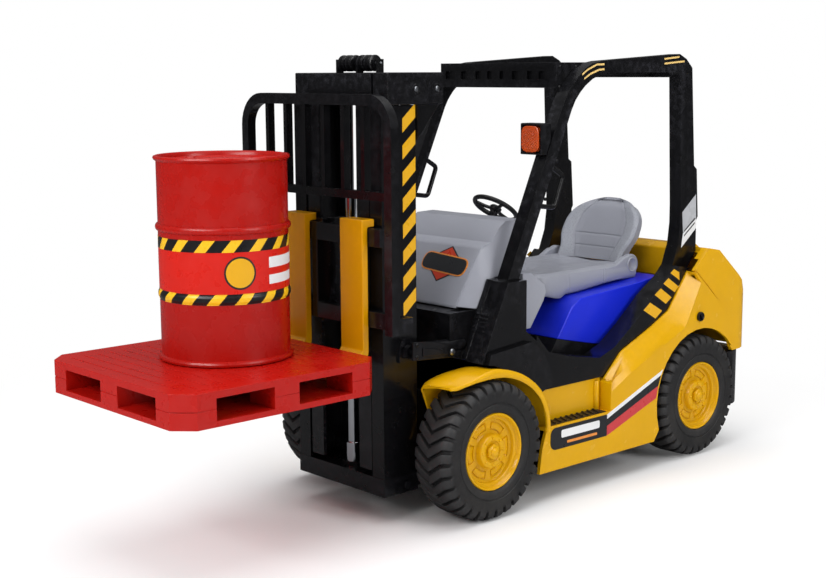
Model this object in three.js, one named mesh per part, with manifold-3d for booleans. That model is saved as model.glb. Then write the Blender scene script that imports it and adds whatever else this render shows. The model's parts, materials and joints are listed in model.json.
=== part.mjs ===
// Toy counterbalance forklift with a pallet and a drum, as separate solids.
// Millimetres, +Z up.  The origin is on the ground at the middle of the whole set's footprint.
// +X is the truck's left side, the forks point along -Y.  Every piece is drawn from the foot of
// the front axle, and the group that holds them all is moved by AXLE_Y.
import * as THREE from 'three';
import * as BufferGeometryUtils from 'three/addons/utils/BufferGeometryUtils.js';
import Module from 'manifold-3d';

const wasm = await Module();
wasm.setup();

// ---- driving dimensions -------------------------------------------------------------
const GAP = 0.3;
const AXLE_Y = -38;
const WHEEL_RADIUS = 54;
const RIM_RADIUS = 30.2;
const WHEELBASE = 264;
const FRONT_TYRE_OUT = 100.5;
const REAR_TYRE_OUT = 96;
const TYRE_WIDTH = 36;
const ARCH_RADIUS = 61;
const KINGPIN_X = 64;
const STEER_ARM = 18;
const SIDE_OUT = 95.5;
const PANEL = 3;
const CAB_IN = 67;
const CAB_OUT = 79;
const SILL_OUT = 85;
const WHEELHOUSE_OUT = 90;
const ROOF_TOP = 353.8;
const MAST_HALF = 51.5;
const MAST_FRONT = -69.7;
const MAST_REAR = -35.7;
const MAST_FOOT = 22;
const MAST_TOP = 340;
const CAP_BOTTOM = 316.6;
const TILT_PIVOT = [-48, 28];
const TILT_PIN_Z = 132;
const TILT_X = 57;
const FORK_FRONT = -85.2;
const FORK_CENTRE = 34;
const FORK_WIDTH = 26;
const BLADE_TOP = 133.7;
const BLADE_THICK = 6;
const BLADE_TIP = -238;
const GUARD_HALF = 88.7;
const GUARD_FRONT = -93;
const GUARD_TOP = 325;
const PALLET_WIDTH = 175.4;
const PALLET_REAR = -101;
const PALLET_LENGTH = 170;
const PALLET_BOTTOM = 115;
const PALLET_TOP = 139;
const PALLET_BOARD = 4;
const PALLET_DECK = 5;
const DRUM_RADIUS = 47;
const DRUM_HEIGHT = 144.5;
const DRUM_CENTRE = [-3, -172];
const STEERING_HUB = new THREE.Vector3(0, 102, 226);
const STEERING_AXIS = new THREE.Vector3(0, Math.sin(0.61), Math.cos(0.61));

// ---- finishes -----------------------------------------------------------------------
const finish = (color, roughness, metalness = 0) =>
  new THREE.MeshStandardMaterial({ color, roughness, metalness });
const YELLOW = finish('#daa520', 0.3);
const BLACK = finish('#17181b', 0.4);
const GREY = finish('#a3a6b1', 0.45);
const BLUE = finish('#2a3ad0', 0.25);
const RED = finish('#b8251c', 0.35);
const RUBBER = finish('#1c1c1e', 0.8);
const CHROME = finish('#c8ccd0', 0.15, 1);
const STEEL = finish('#9a9da1', 0.35, 1);
const AMBER = finish('#c8601a', 0.2);
const BRASS = finish('#c9a04a', 0.3, 1);
const GREEN = finish('#1f6b3a', 0.5);

// ---- solids -------------------------------------------------------------------------
function solid(geometry) {
  let plain = geometry.clone();
  plain.deleteAttribute('normal');
  plain.deleteAttribute('uv');
  plain = BufferGeometryUtils.mergeVertices(plain, 1e-4);
  return new wasm.Manifold(new wasm.Mesh({
    numProp: 3,
    vertProperties: new Float32Array(plain.attributes.position.array),
    triVerts: new Uint32Array(plain.index.array),
  }));
}

const join = (...bodies) => bodies.reduce((all, next) => all.add(next));
const cut = (body, ...tools) => tools.reduce((rest, tool) => rest.subtract(tool), body);

function geometryOf(body) {
  const mesh = body.getMesh();
  const geometry = new THREE.BufferGeometry();
  const position = new THREE.BufferAttribute(new Float32Array(mesh.vertProperties), 3);
  geometry.setAttribute('position', position);
  geometry.setIndex(new THREE.BufferAttribute(new Uint32Array(mesh.triVerts), 1));
  geometry.computeVertexNormals();
  return geometry;
}

// Corner points as vectors, running anticlockwise (sense 1) or clockwise (sense -1).
function ring(points, sense) {
  const corners = points.map(([u, v]) => new THREE.Vector2(u, v));
  return THREE.ShapeUtils.area(corners) * sense < 0 ? corners.reverse() : corners;
}

function outline(points, holes = []) {
  const shape = new THREE.Shape(ring(points, 1));
  shape.holes = holes.map((hole) => new THREE.Path(ring(hole, -1)));
  return shape;
}

function extruded(points, depth, basis, holes) {
  const geometry = new THREE.ExtrudeGeometry(outline(points, holes), { depth, bevelEnabled: false });
  return geometry.applyMatrix4(new THREE.Matrix4().makeBasis(...basis));
}

const X = new THREE.Vector3(1, 0, 0);
const Y = new THREE.Vector3(0, 1, 0);
const Z = new THREE.Vector3(0, 0, 1);

// Outline in (y, z) carried from x0 to x1.
function prismX(points, x0, x1, holes = []) {
  return solid(extruded(points, x1 - x0, [Y, Z, X], holes).translate(x0, 0, 0));
}

// Outline in (x, z) carried from y0 to y1.
function prismY(points, y0, y1, holes = []) {
  return solid(extruded(points, y1 - y0, [X, Z, Y.clone().negate()], holes).translate(0, y1, 0));
}

// Outline in (x, y) carried from z0 to z1.
function prismZ(points, z0, z1, holes = []) {
  return solid(extruded(points, z1 - z0, [X, Y, Z], holes).translate(0, 0, z0));
}

function box(x0, x1, y0, y1, z0, z1) {
  const geometry = new THREE.BoxGeometry(x1 - x0, y1 - y0, z1 - z0);
  return solid(geometry.translate((x0 + x1) / 2, (y0 + y1) / 2, (z0 + z1) / 2));
}

// Round rod between two points.
function rod(from, to, radius, sides = 14) {
  const start = new THREE.Vector3(...from);
  const along = new THREE.Vector3(...to).sub(start);
  const geometry = new THREE.CylinderGeometry(radius, radius, along.length(), sides);
  const turn = new THREE.Quaternion().setFromUnitVectors(Y, along.clone().normalize());
  geometry.applyQuaternion(turn);
  return solid(geometry.translate(...start.addScaledVector(along, 0.5).toArray()));
}

// Round profile of (radius, x) points turned about a line parallel to X.
function turnedX(profile, y, z, sides = 28) {
  const points = [...profile, profile[0]].map(([r, x]) => new THREE.Vector2(r, x));
  const geometry = new THREE.LatheGeometry(points, sides);
  geometry.applyMatrix4(new THREE.Matrix4().makeBasis(Y, X, Z.clone().negate()));
  return solid(geometry.translate(0, y, z));
}

// Round profile of (radius, z) points turned about a vertical line.
function turnedZ(profile, x, y, sides = 28) {
  const geometry = new THREE.LatheGeometry(profile.map(([r, z]) => new THREE.Vector2(r, z)), sides);
  geometry.applyMatrix4(new THREE.Matrix4().makeBasis(X, Z, Y.clone().negate()));
  return solid(geometry.translate(x, y, 0));
}

function arc(y, z, radius, fromDegrees, toDegrees, steps = 8) {
  return Array.from({ length: steps + 1 }, (_, i) => {
    const angle = THREE.MathUtils.degToRad(fromDegrees + ((toDegrees - fromDegrees) * i) / steps);
    return [y + radius * Math.cos(angle), z + radius * Math.sin(angle)];
  });
}

// Bent rod through straight stretches with rounded corners.
function bentRod(points, radius, bend) {
  const path = new THREE.CurvePath();
  const at = points.map((p) => new THREE.Vector3(...p));
  let from = at[0];
  for (let i = 1; i < at.length - 1; i += 1) {
    const before = at[i].clone().lerp(at[i - 1], bend / at[i].distanceTo(at[i - 1]));
    const after = at[i].clone().lerp(at[i + 1], bend / at[i].distanceTo(at[i + 1]));
    path.add(new THREE.LineCurve3(from, before));
    path.add(new THREE.QuadraticBezierCurve3(before, at[i], after));
    from = after;
  }
  path.add(new THREE.LineCurve3(from, at[at.length - 1]));
  const circle = new THREE.Shape().absarc(0, 0, radius, 0, Math.PI * 2);
  return solid(new THREE.ExtrudeGeometry(circle, { steps: 16, curveSegments: 3, extrudePath: path }));
}

const mirrored = (body) => body.mirror([1, 0, 0]);

const truck = new THREE.Group();
truck.position.y = AXLE_Y;

function add(name, body, material) {
  const mesh = new THREE.Mesh(geometryOf(body), material);
  mesh.name = name;
  truck.add(mesh);
}

// A left-hand piece and its mirror image.
function addPair(name, body, material) {
  add(`left_${name}`, body, material);
  add(`right_${name}`, mirrored(body), material);
}

// ---- chassis ------------------------------------------------------------------------
const FLOOR_TOP = 102;
const FRAME_HALF = 44;
const HATCH = { half: 30, front: 90, rear: 180 };

function chassisFrame() {
  const base = box(-FRAME_HALF, FRAME_HALF, -28, 322, 22, 26);
  const wide = box(-92, 92, 64, 196, 26, 29);
  const wall = box(FRAME_HALF - 4, FRAME_HALF, -28, 222, 22, 98);
  const front = box(-FRAME_HALF, FRAME_HALF, -28, -25, 22, 98);
  const floor = box(GAP - CAB_IN, CAB_IN - GAP, 62, 200, 98, FLOOR_TOP);
  const floorTail = box(-FRAME_HALF, FRAME_HALF, 190, 250, 98, FLOOR_TOP);
  const lug = prismX([[-27, 22], [-27, 40], [-48, 34], [-54, 28], [-50, 22.5]], 26, 34);
  const pin = rod([-54, ...TILT_PIVOT], [54, ...TILT_PIVOT], 3);
  const frame = join(base, wide, wall, mirrored(wall), front, floor, floorTail, lug, mirrored(lug), pin);
  const axleHole = rod([-60, 0, WHEEL_RADIUS], [60, 0, WHEEL_RADIUS], 4, 24);
  const hatch = box(-HATCH.half, HATCH.half, HATCH.front, HATCH.rear, 20, 31);
  const switchSlot = box(-8, 8, 206, 216, 20, 31);
  return cut(frame, axleHole, hatch, switchSlot);
}

const FENDER_LINE = [[-67.5, 110], [-67, 117], [-63, 121], [-35, 124], [9, 117.5], [43, 103.7],
  [57, 91.7], [64.5, 73], [66.5, 58]];
const FENDER_UNDER = [[63.4, 58], [61.6, 72], [54.6, 89.6], [41.6, 101], [8.3, 114.6], [-35, 121],
  [-61.8, 118], [-64.3, 115], [-64.5, 110]];
const SEAM = [[296, 131], [254, 166]];
const SILL_EDGE = [[228, 134], [205, 123], [165, 107], [143, 87]];
const rearArch = (from, to, steps = 14) => arc(WHEELBASE, WHEEL_RADIUS, ARCH_RADIUS, from, to, steps);

// Drum-shaped space that a rear wheel and its steering need, out to x.
function rearWheelSpace(x) {
  const from = [FRAME_HALF + 1, WHEELBASE, WHEEL_RADIUS];
  return rod(from, [x, WHEELBASE, WHEEL_RADIUS], ARCH_RADIUS, 48);
}

function sidePanel() {
  const fender = prismX([...FENDER_LINE, ...FENDER_UNDER], 56, 97);
  const skirtOutline = [[55, 24], [200, 24], ...rearArch(200, 40), ...SEAM, ...SILL_EDGE,
    [141.5, 61], [64, 61], [58, 44]];
  const skirt = prismX(skirtOutline, SIDE_OUT - PANEL, SIDE_OUT);
  const step = box(62, SIDE_OUT, 62, 141.5, 58, 61);
  const wall = box(80, 83, 62, 141.5, 58, 88);
  const bulkhead = prismX([[141.5, 58], [144.5, 58], [144.5, 87], [141.5, 84]], 80, SIDE_OUT);
  const shelf = prismX([[254, 166], ...SILL_EDGE, [145.5, 84.5], [166, 104], [206, 120], [230, 131],
    [256.5, 163.5]], SILL_OUT + GAP, SIDE_OUT);
  return join(fender, skirt, step, wall, bulkhead, shelf);
}

// Plan of the tail: straight sides and rounded rear corners.
function tailPlan(half, rear, corner) {
  const left = arc(rear - corner, half - corner, corner, 90, 0, 6).map(([y, x]) => [x, y]);
  const right = left.map(([x, y]) => [-x, y]).reverse();
  return [[-half, 200], [half, 200], ...left, ...right];
}

const COVER = { half: 62, front: 264, rear: 339, bottom: 136 };

function rearBody() {
  const outer = [[255, 167], [275, 185], [291, 182], [328, 151.5], [338, 134], [347, 88],
    ...rearArch(34, 40, 2), [297, 131.5]];
  const inner = [[230, 160], [274, 180], [290, 178.5], [325, 149.5], [334, 132], [342, 90], [342, 60],
    [230, 60]];
  const block = prismX(outer, -94, 94).intersect(prismZ(tailPlan(93.5, 347, 26), 60, 200));
  const hollow = prismX(inner, -90, 90).intersect(prismZ(tailPlan(90, 343, 23), 50, 200));
  const post = prismX([[190, 110], [255, 166.5], [266, 168], [276, 181], [278, 214], [190, 214]],
    CAB_IN - 0.5, SILL_OUT + GAP);
  const half = COVER.half + GAP;
  const opening = box(-half, half, 250, COVER.rear + GAP, COVER.bottom - GAP, 200);
  return cut(block, hollow, post, mirrored(post), opening);
}

function engineCover() {
  const outer = [[COVER.front, 150], [COVER.front, 183], [272, 187], [300, 184], [330, 164],
    [COVER.rear, 142], [COVER.rear, COVER.bottom]];
  const inner = [[COVER.front + 3, 120], [COVER.front + 3, 181], [273, 184], [299, 181], [328, 162],
    [COVER.rear - 3, 141], [COVER.rear - 3, 120]];
  return cut(prismX(outer, -COVER.half, COVER.half), prismX(inner, 3 - COVER.half, COVER.half - 3));
}

function rearBumper() {
  const outer = [...rearArch(-19, 31, 8), [347, 86], [343, 52], [337, 34]];
  return prismX(outer, -90, 90).intersect(prismZ(tailPlan(86, 347, 22), 20, 100));
}

add('chassis_frame', chassisFrame(), BLACK);
addPair('side_panel', sidePanel(), YELLOW);
add('rear_body', rearBody(), YELLOW);
add('engine_cover', engineCover(), YELLOW);
add('rear_bumper', rearBumper(), BLACK);
add('fuel_cap', rod([SIDE_OUT + GAP, 261, 126], [SIDE_OUT + 3, 261, 126], 4.2), BLACK);

// ---- cowl, hood and seat ------------------------------------------------------------
const COLUMN_LENGTH = 24;
const columnFoot = STEERING_HUB.clone().addScaledVector(STEERING_AXIS, -COLUMN_LENGTH).toArray();
const columnHead = STEERING_HUB.clone().addScaledVector(STEERING_AXIS, -3.2).toArray();

function cowl() {
  const outer = [[-10, 123.6], [-10, 157], [6, 158], [20, 176], [25, 180], [61, 180], [61, 103],
    [43, 105.2], [9, 118.8]];
  const inner = [[-7, 110], [-7, 154], [7.5, 155], [21.5, 173], [26, 177], [58, 177], [58, 95]];
  const half = CAB_IN - GAP;
  const tiltHole = rod([TILT_X, -20, TILT_PIN_Z], [TILT_X, 6.8, TILT_PIN_Z], 6);
  const shoulder = prismX([[-12, 100], [-9, 100], [1, 119.4], [30, 180.8], [-12, 180.8]], 61, 80);
  return cut(prismX(outer, -half, half), prismX(inner, -58, 58), shoulder, mirrored(shoulder),
    tiltHole, mirrored(tiltHole));
}

function hood() {
  const nose = [[4.5, 158.6], [5, 161], [31, 202], [35, 204.5], [44, 206.5], [52, 217], [60, 222.5],
    [78, 223], [86, 212], [74, 180.6], [22, 180.6], [5.2, 158.6]];
  const inside = [[21, 178], [34, 198.5], [45, 202.5], [55, 213.5], [62, 219], [76, 219], [82, 211],
    [70, 176]];
  const firewall = prismX([[62.6, 136.5], [62.6, 181.5], [72, 181.5], [80.7, 175.5], [88.6, 170], [90, 163.5],
    [87.5, 157.5], [72, 136.5]], -68.8, 68.8);
  const shell = cut(prismX(nose, -52, 52), prismX(inside, -48.5, 48.5));
  const column = rod(columnFoot, columnHead, 4);
  return cut(join(shell, firewall), column);
}

function seatBox() {
  const outer = [[98, FLOOR_TOP + GAP], [130, 146], [142, 152], [214, 157], [250, 161], [252, 140],
    [246, FLOOR_TOP + GAP]];
  const inner = [[104, 90], [134, 144], [144, 149], [214, 154], [247, 157.5], [248.5, 140], [243, 90]];
  const arch = rearWheelSpace(70);
  return cut(prismX(outer, -62, 62), prismX(inner, -59, 59), arch, mirrored(arch));
}

function seatCushion() {
  const side = [[100, 170], [103, 162], [116, 153.5], [134, 149.8], [142, 152.6], [214, 157.6],
    [242, 160.4], [242, 169], [215, 172], [150, 173], [104, 173]];
  return prismX(side, -46, 46);
}

function seatBack() {
  const side = [[224, 172.6], [244, 171], [262, 216], [259, 226], [248, 227], [240, 219]];
  return prismX(side, -38, 38);
}

function steeringWheel() {
  const rim = new THREE.TorusGeometry(19, 2, 8, 24);
  const spokes = [90, 210, 330].map((degrees) => {
    const angle = THREE.MathUtils.degToRad(degrees);
    return rod([0, 0, -1], [18.5 * Math.cos(angle), 18.5 * Math.sin(angle), 0], 1.6, 10);
  });
  const hub = rod([0, 0, -2.6], [0, 0, 2], 5, 20);
  const turn = new THREE.Quaternion().setFromUnitVectors(Z, STEERING_AXIS);
  const place = new THREE.Matrix4().compose(STEERING_HUB, turn, new THREE.Vector3(1, 1, 1));
  return join(solid(rim), hub, ...spokes).transform(place.toArray());
}

add('cowl', cowl(), BLACK);
add('hood', hood(), GREY);
add('seat_box', seatBox(), BLUE);
add('seat_cushion', seatCushion(), GREY);
add('seat_back', seatBack(), GREY);
add('steering_column', rod(columnFoot, columnHead, 3.5), BLACK);
add('steering_wheel', steeringWheel(), BLACK);

// ---- cab frame ----------------------------------------------------------------------
const PILLAR_OUTER = [[35.3, 180.4], [66.5, 248], [97, 314], [102, 322.2], [108, 329], [115, 335.8],
  [122.5, 341.8], [132, 346.2], [144, 348.1]];
const PILLAR_INNER = [[50, 139], [50, 179.4], [47.6, 180.4], [71.6, 233.5], [107.3, 309.5], [111.7, 317],
  [117.4, 323.3], [123.6, 328.5], [132.3, 333.7], [141.1, 336.7], [153.5, 338.4]];
const POST_OUTER = [[246, ROOF_TOP], [255.5, 349.6], [264, 342], [266.8, 299.5], [270, 257], [274, 254],
  [277, 212], [275, 209], [275, 182], [264, 168]];
const POST_INNER = [[246, 338.3], [247.2, 336], [252, 224], [252, 208], [249.5, 190], [242, 171.5],
  [231, 161.5]];
const SILL_TOP = [[218.7, 154.4], [207.7, 147.7], [196.2, 138.4], [180, 126], [158, 111.5], [139, 105],
  [100, 112], [76, 119], [62, 134]];
const BASE_FRONT = [[9, 118.3], [1, 119.4], [29.3, 179.4]];
const WHEEL_CLEARANCE = [[62, 88.5], [57, 93], [43, 104.6]];
const BAND_UNDER = [[254, 166.4], [228, 134.4], [205, 123.4], [165, 107.4], [143, 88.5]];

// Window-shaped loop of one side with a raised sill, the block its pillar stands on and the wheel arch.
function cabFrame() {
  const outer = [...BASE_FRONT, ...PILLAR_OUTER, ...POST_OUTER, ...BAND_UNDER, ...WHEEL_CLEARANCE];
  const opening = [...PILLAR_INNER, ...POST_INNER, ...SILL_TOP];
  const loop = prismX(outer, CAB_IN, CAB_OUT, [opening]);
  const sill = prismX([[242, 171.5], [231, 161.5], ...SILL_TOP, [62, 88.5], [143, 88.5], [165, 107.4],
    [205, 123.4], [228, 134.4], [254, 166.4], [262, 168]], CAB_OUT - 1, SILL_OUT);
  const block = prismX([...BASE_FRONT, [50, 179.4], [50, 139], [77, 118], [76, 93], ...WHEEL_CLEARANCE],
    CAB_OUT - 1, SILL_OUT);
  const arch = prismX([[9, 118.3], [3, 119.2], [6, 127], [30, 129], [52, 131], [64, 122], [74, 104], [76, 93],
    ...WHEEL_CLEARANCE], CAB_OUT - 1, WHEELHOUSE_OUT);
  return join(loop, sill, block, arch);
}

function roofGrille() {
  const half = CAB_IN - GAP;
  const front = box(-half, half, 102, 110, 326.8, 347);
  const rear = box(-half, half, 249, 260, 334, 347);
  const slats = [-45, -15, 15, 45].map((x) => box(x - 3, x + 3, 109, 250, 337, 344));
  const gusset = prismX([[102, 347], [103, 316.5], [109, 316.5], [122, 333], [140, 342], [140, 347]],
    half - 2.5, half);
  return join(front, rear, gusset, mirrored(gusset), ...slats);
}

function handle() {
  const x = 74;
  return bentRod([[x, 88, 266], [x, 103, 257.5], [x, 92.5, 232.5], [x, 74.2, 235]], 2, 3);
}

const LAMP = { x0: 56.5, x1: 79, y0: 71.9, y1: 83.2, z0: 275.2, z1: 299.8 };

function lampHousing() {
  const side = [[LAMP.y0, LAMP.z0], [78.2, LAMP.z0], [LAMP.y1, 285.8], [LAMP.y1, LAMP.z1],
    [LAMP.y0, LAMP.z1]];
  return cut(prismX(side, LAMP.x0, LAMP.x1), lampInset(1.8, -1, 3));
}

// Block inside the lamp's outline, from y0 + near to y0 + far.
function lampInset(margin, near, far) {
  return box(LAMP.x0 + margin, LAMP.x1 - margin, LAMP.y0 + near, LAMP.y0 + far,
    LAMP.z0 + margin, LAMP.z1 - margin);
}

const lampLens = () => lampInset(2.1, -2, 2.7);

addPair('cab_frame', cabFrame(), BLACK);
add('roof_grille', roofGrille(), BLACK);
addPair('handle', handle(), BLACK);
add('lamp_housing', lampHousing(), BLACK);
add('lamp_lens', lampLens(), AMBER);

// ---- mast ---------------------------------------------------------------------------
const CYLINDER_Y = -56.5;

function outerMast() {
  const channel = prismZ([[38, MAST_FRONT], [MAST_HALF, MAST_FRONT], [MAST_HALF, MAST_REAR],
    [38, MAST_REAR], [38, -39], [48, -39], [48, -66.4], [38, -66.4]], 30, CAP_BOTTOM - GAP);
  const foot = box(37.6, MAST_HALF + 0.4, MAST_FRONT - 0.4, MAST_REAR + 0.4, MAST_FOOT, 36);
  const sill = box(-45, 45, MAST_FRONT - 0.4, -59, MAST_FOOT, 36);
  const seat = box(-9, 9, -61, -52, 33, 38);
  const bracket = prismX([[-55, 124], [-41, 124], [-41, 136], [-44, 142], [-52, 142], [-55, 136]],
    MAST_HALF - 1, 53.6);
  const pin = rod([53, TILT_PIVOT[0], TILT_PIN_Z], [60, TILT_PIVOT[0], TILT_PIN_Z], 2);
  const side = join(channel, foot, bracket, pin);
  const pivotHole = rod([-60, ...TILT_PIVOT], [60, ...TILT_PIVOT], 3.5);
  return cut(join(side, mirrored(side), sill, seat), pivotHole);
}

function mastCap() {
  const blocks = box(-54.5, 54.5, -66, -10, CAP_BOTTOM, MAST_TOP);
  const middle = box(-38, 38, -70, -33.4, CAP_BOTTOM - 5, MAST_TOP + 5);
  const gusset = prismX([[-35.3, CAP_BOTTOM + 1], [-12, CAP_BOTTOM + 1], [-35.3, 290]], 50, 53.5);
  return join(cut(blocks, middle), gusset, mirrored(gusset));
}

function innerMast() {
  const channel = prismZ([[22, -69], [36.5, -69], [36.5, -38], [22, -38], [22, -41], [33.5, -41],
    [33.5, -66], [22, -66]], 40, CAP_BOTTOM + 1);
  const crosshead = box(-37, 37, -66.5, -34, CAP_BOTTOM, MAST_TOP - 0.5);
  const foot = box(-35, 35, -49, -38.6, 41, 51);
  const cheeks = [-23.5, 0, 23.5].map((x) => box(x - 1.2, x + 1.2, -49, -43, MAST_TOP - 2, 350));
  const axleHole = rod([-30, -46, 347], [30, -46, 347], 1.4, 12);
  return cut(join(channel, mirrored(channel), crosshead, foot, ...cheeks), axleHole);
}

function pulleyAxle() {
  return rod([-25.5, -46, 347], [25.5, -46, 347], 1.1, 12);
}

function pulley(x) {
  const flange = 6.2;
  const groove = 4.4;
  return turnedX([[1.4, x - 8], [flange, x - 8], [flange, x - 5.5], [groove, x - 4], [groove, x + 4],
    [flange, x + 5.5], [flange, x + 8], [1.4, x + 8]], -46, 347, 24);
}

function tiltRod() {
  const eye = rod([54.8, TILT_PIVOT[0], TILT_PIN_Z], [59.2, TILT_PIVOT[0], TILT_PIN_Z], 5.6, 24);
  const shaft = rod([TILT_X, -44, TILT_PIN_Z], [TILT_X, -12, TILT_PIN_Z], 2.2, 14);
  const bore = rod([50, TILT_PIVOT[0], TILT_PIN_Z], [62, TILT_PIVOT[0], TILT_PIN_Z], 3.1, 20);
  return cut(join(eye, shaft), bore);
}

function tiltCylinder() {
  const tube = rod([TILT_X, -30, TILT_PIN_Z], [TILT_X, 6, TILT_PIN_Z], 5.4, 20);
  return cut(tube, rod([TILT_X, -31, TILT_PIN_Z], [TILT_X, 1, TILT_PIN_Z], 2.7, 16));
}

function liftCylinder() {
  const tube = rod([0, CYLINDER_Y, 38.3], [0, CYLINDER_Y, 250], 4.5, 20);
  const collar = rod([0, CYLINDER_Y, 38.3], [0, CYLINDER_Y, 54], 6, 20);
  return cut(join(tube, collar), rod([0, CYLINDER_Y, 42], [0, CYLINDER_Y, 260], 3.2, 16));
}

add('outer_mast', outerMast(), BLACK);
add('mast_cap', mastCap(), BLACK);
add('inner_mast', innerMast(), BLACK);
add('pulley_axle', pulleyAxle(), STEEL);
add('left_pulley', pulley(11), BLACK);
add('right_pulley', pulley(-11), BLACK);
add('lift_cylinder', liftCylinder(), CHROME);
add('lift_rod', rod([0, CYLINDER_Y, 60], [0, CYLINDER_Y, CAP_BOTTOM - GAP], 2.7, 16), CHROME);
addPair('tilt_cylinder', tiltCylinder(), BLACK);
addPair('tilt_rod', tiltRod(), BLACK);

// ---- carriage, guard and forks ------------------------------------------------------
const CARRIAGE_FRONT = -79.2;
const CARRIAGE_REAR = -73;

function carriage() {
  const upper = box(-60, 60, CARRIAGE_FRONT, CARRIAGE_REAR, 214, 227.5);
  const lower = box(-77, 77, CARRIAGE_FRONT, CARRIAGE_REAR, 154, 166);
  const arm = box(13, 20, -74, -50.5, 150, 230);
  const web = box(13, 20, CARRIAGE_FRONT, CARRIAGE_REAR, 160, 220);
  return join(upper, lower, arm, web, mirrored(arm), mirrored(web));
}

function loadGuard() {
  const tube = 8;
  const corner = 25;
  const hoop = (half, top, radius) => [[half, 154], ...arc(half - radius, top - radius, radius, 0, 90, 8),
    ...arc(radius - half, top - radius, radius, 90, 180, 8), [-half, 154]];
  const inner = hoop(GUARD_HALF - tube, GUARD_TOP - tube, corner - tube).reverse();
  const frame = prismY([...hoop(GUARD_HALF, GUARD_TOP, corner), ...inner], GUARD_FRONT, -85.6);
  const rail = box(1 - GUARD_HALF, GUARD_HALF - 1, GUARD_FRONT + 1, -86, 250, 256);
  const bar = (x) => box(x - 2, x + 2, -92, -86.2, 253, GUARD_TOP - 3);
  const bars = [-56.7, -34, -11.3, 11.3, 34, 56.7].map(bar);
  const foot = box(77.4, GUARD_HALF, -86, CARRIAGE_REAR, 154, 166);
  return join(frame, rail, ...bars, foot, mirrored(foot));
}

function fork() {
  const back = FORK_FRONT + 5.7;
  const heel = 8;
  const side = [[FORK_FRONT, 234], [CARRIAGE_REAR, 234], [CARRIAGE_REAR, 228], [back, 228],
    ...arc(back - heel, BLADE_TOP - BLADE_THICK + heel, heel, 0, -90, 5),
    [BLADE_TIP + 20, BLADE_TOP - BLADE_THICK], [BLADE_TIP, BLADE_TOP - 2], [BLADE_TIP, BLADE_TOP],
    [FORK_FRONT - 3, BLADE_TOP], [FORK_FRONT, BLADE_TOP + 3]];
  return prismX(side, FORK_CENTRE - FORK_WIDTH / 2, FORK_CENTRE + FORK_WIDTH / 2);
}

add('carriage', carriage(), BLACK);
add('load_guard', loadGuard(), BLACK);
addPair('fork', fork(), YELLOW);

// ---- wheels, axles and steering -----------------------------------------------------
function tyre(out, y) {
  const x = out - TYRE_WIDTH;
  const shoulder = WHEEL_RADIUS - 4;
  return turnedX([[RIM_RADIUS + GAP, x], [44, x], [shoulder, x + 2], [WHEEL_RADIUS, x + 7],
    [WHEEL_RADIUS, out - 7], [shoulder, out - 2], [44, out], [RIM_RADIUS + GAP, out - 1]],
  y, WHEEL_RADIUS, 32);
}

function rim(out, y) {
  const inner = out - TYRE_WIDTH + 1;
  return turnedX([[3.4, out - 20], [8, out - 20], [8, out - 12], [27.5, out - 12], [27.5, inner],
    [RIM_RADIUS, inner], [RIM_RADIUS, out - 1.5], [28, out - 1.5], [27, out - 7], [14, out - 8],
    [12, out - 3], [3.4, out - 3]], y, WHEEL_RADIUS);
}

const GEAR_RADIUS = 18;
const PINION_RADIUS = 5;
const MOTOR_Y = GEAR_RADIUS + PINION_RADIUS + 0.6;

function frontAxle() {
  const shaft = rod([-95, 0, WHEEL_RADIUS], [95, 0, WHEEL_RADIUS], 3);
  const collar = rod([9, 0, WHEEL_RADIUS], [12, 0, WHEEL_RADIUS], 5);
  return join(shaft, collar);
}

function gear(radius, teeth, x0, x1, y, bore) {
  const outlinePoints = [];
  for (let i = 0; i < teeth; i += 1) {
    [[0, -1.6], [0.25, 0], [0.5, 0], [0.75, -1.6]].forEach(([part, drop]) => {
      const angle = ((i + part) / teeth) * Math.PI * 2;
      const reach = radius + drop;
      outlinePoints.push([y + reach * Math.cos(angle), WHEEL_RADIUS + reach * Math.sin(angle)]);
    });
  }
  return prismX(outlinePoints, x0, x1, [arc(y, WHEEL_RADIUS, bore, 330, 0, 11)]);
}

function motor() {
  const can = rod([6, MOTOR_Y, WHEEL_RADIUS], [38, MOTOR_Y, WHEEL_RADIUS], 13, 28);
  const bore = rod([0, MOTOR_Y, WHEEL_RADIUS], [16, MOTOR_Y, WHEEL_RADIUS], 1.6, 12);
  return cut(can, bore);
}

function pinion() {
  const shaft = rod([-3.5, MOTOR_Y, WHEEL_RADIUS], [15, MOTOR_Y, WHEEL_RADIUS], 1.2, 12);
  return join(gear(PINION_RADIUS, 8, -3, 4, MOTOR_Y, 0.8), shaft);
}

const TIE_ROD_Y = WHEELBASE + STEER_ARM;
const TIE_ROD_Z = 58;

function rearAxleBeam() {
  const beam = box(-58, 58, 257, 271, 46, 62);
  const post = box(-20, 20, 259, 269, 26.3, 47);
  const lug = box(50, 70, 257, 271, 38, 70);
  const pocket = box(58.5, 75, 250, 280, 43, 65);
  const clear = box(50, 75, 268, 280, 43, 65);
  const side = cut(lug, pocket, clear);
  const hole = rod([KINGPIN_X, WHEELBASE, 30], [KINGPIN_X, WHEELBASE, 80], 2.9);
  return cut(join(beam, post, side, mirrored(side)), hole, mirrored(hole));
}

function knuckle() {
  const barrel = rod([KINGPIN_X, WHEELBASE, 43.4], [KINGPIN_X, WHEELBASE, 64.6], 5);
  const kingpin = rod([KINGPIN_X, WHEELBASE, 37], [KINGPIN_X, WHEELBASE, 71], 2.5);
  const spindle = rod([KINGPIN_X, WHEELBASE, WHEEL_RADIUS], [93.5, WHEELBASE, WHEEL_RADIUS], 3);
  const arm = box(KINGPIN_X - 3.4, KINGPIN_X + 3.4, WHEELBASE, TIE_ROD_Y + 3, 51, 55.5);
  const pin = rod([KINGPIN_X, TIE_ROD_Y, 53], [KINGPIN_X, TIE_ROD_Y, 60.5], 1.5, 14);
  return join(barrel, kingpin, spindle, arm, pin);
}

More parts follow.
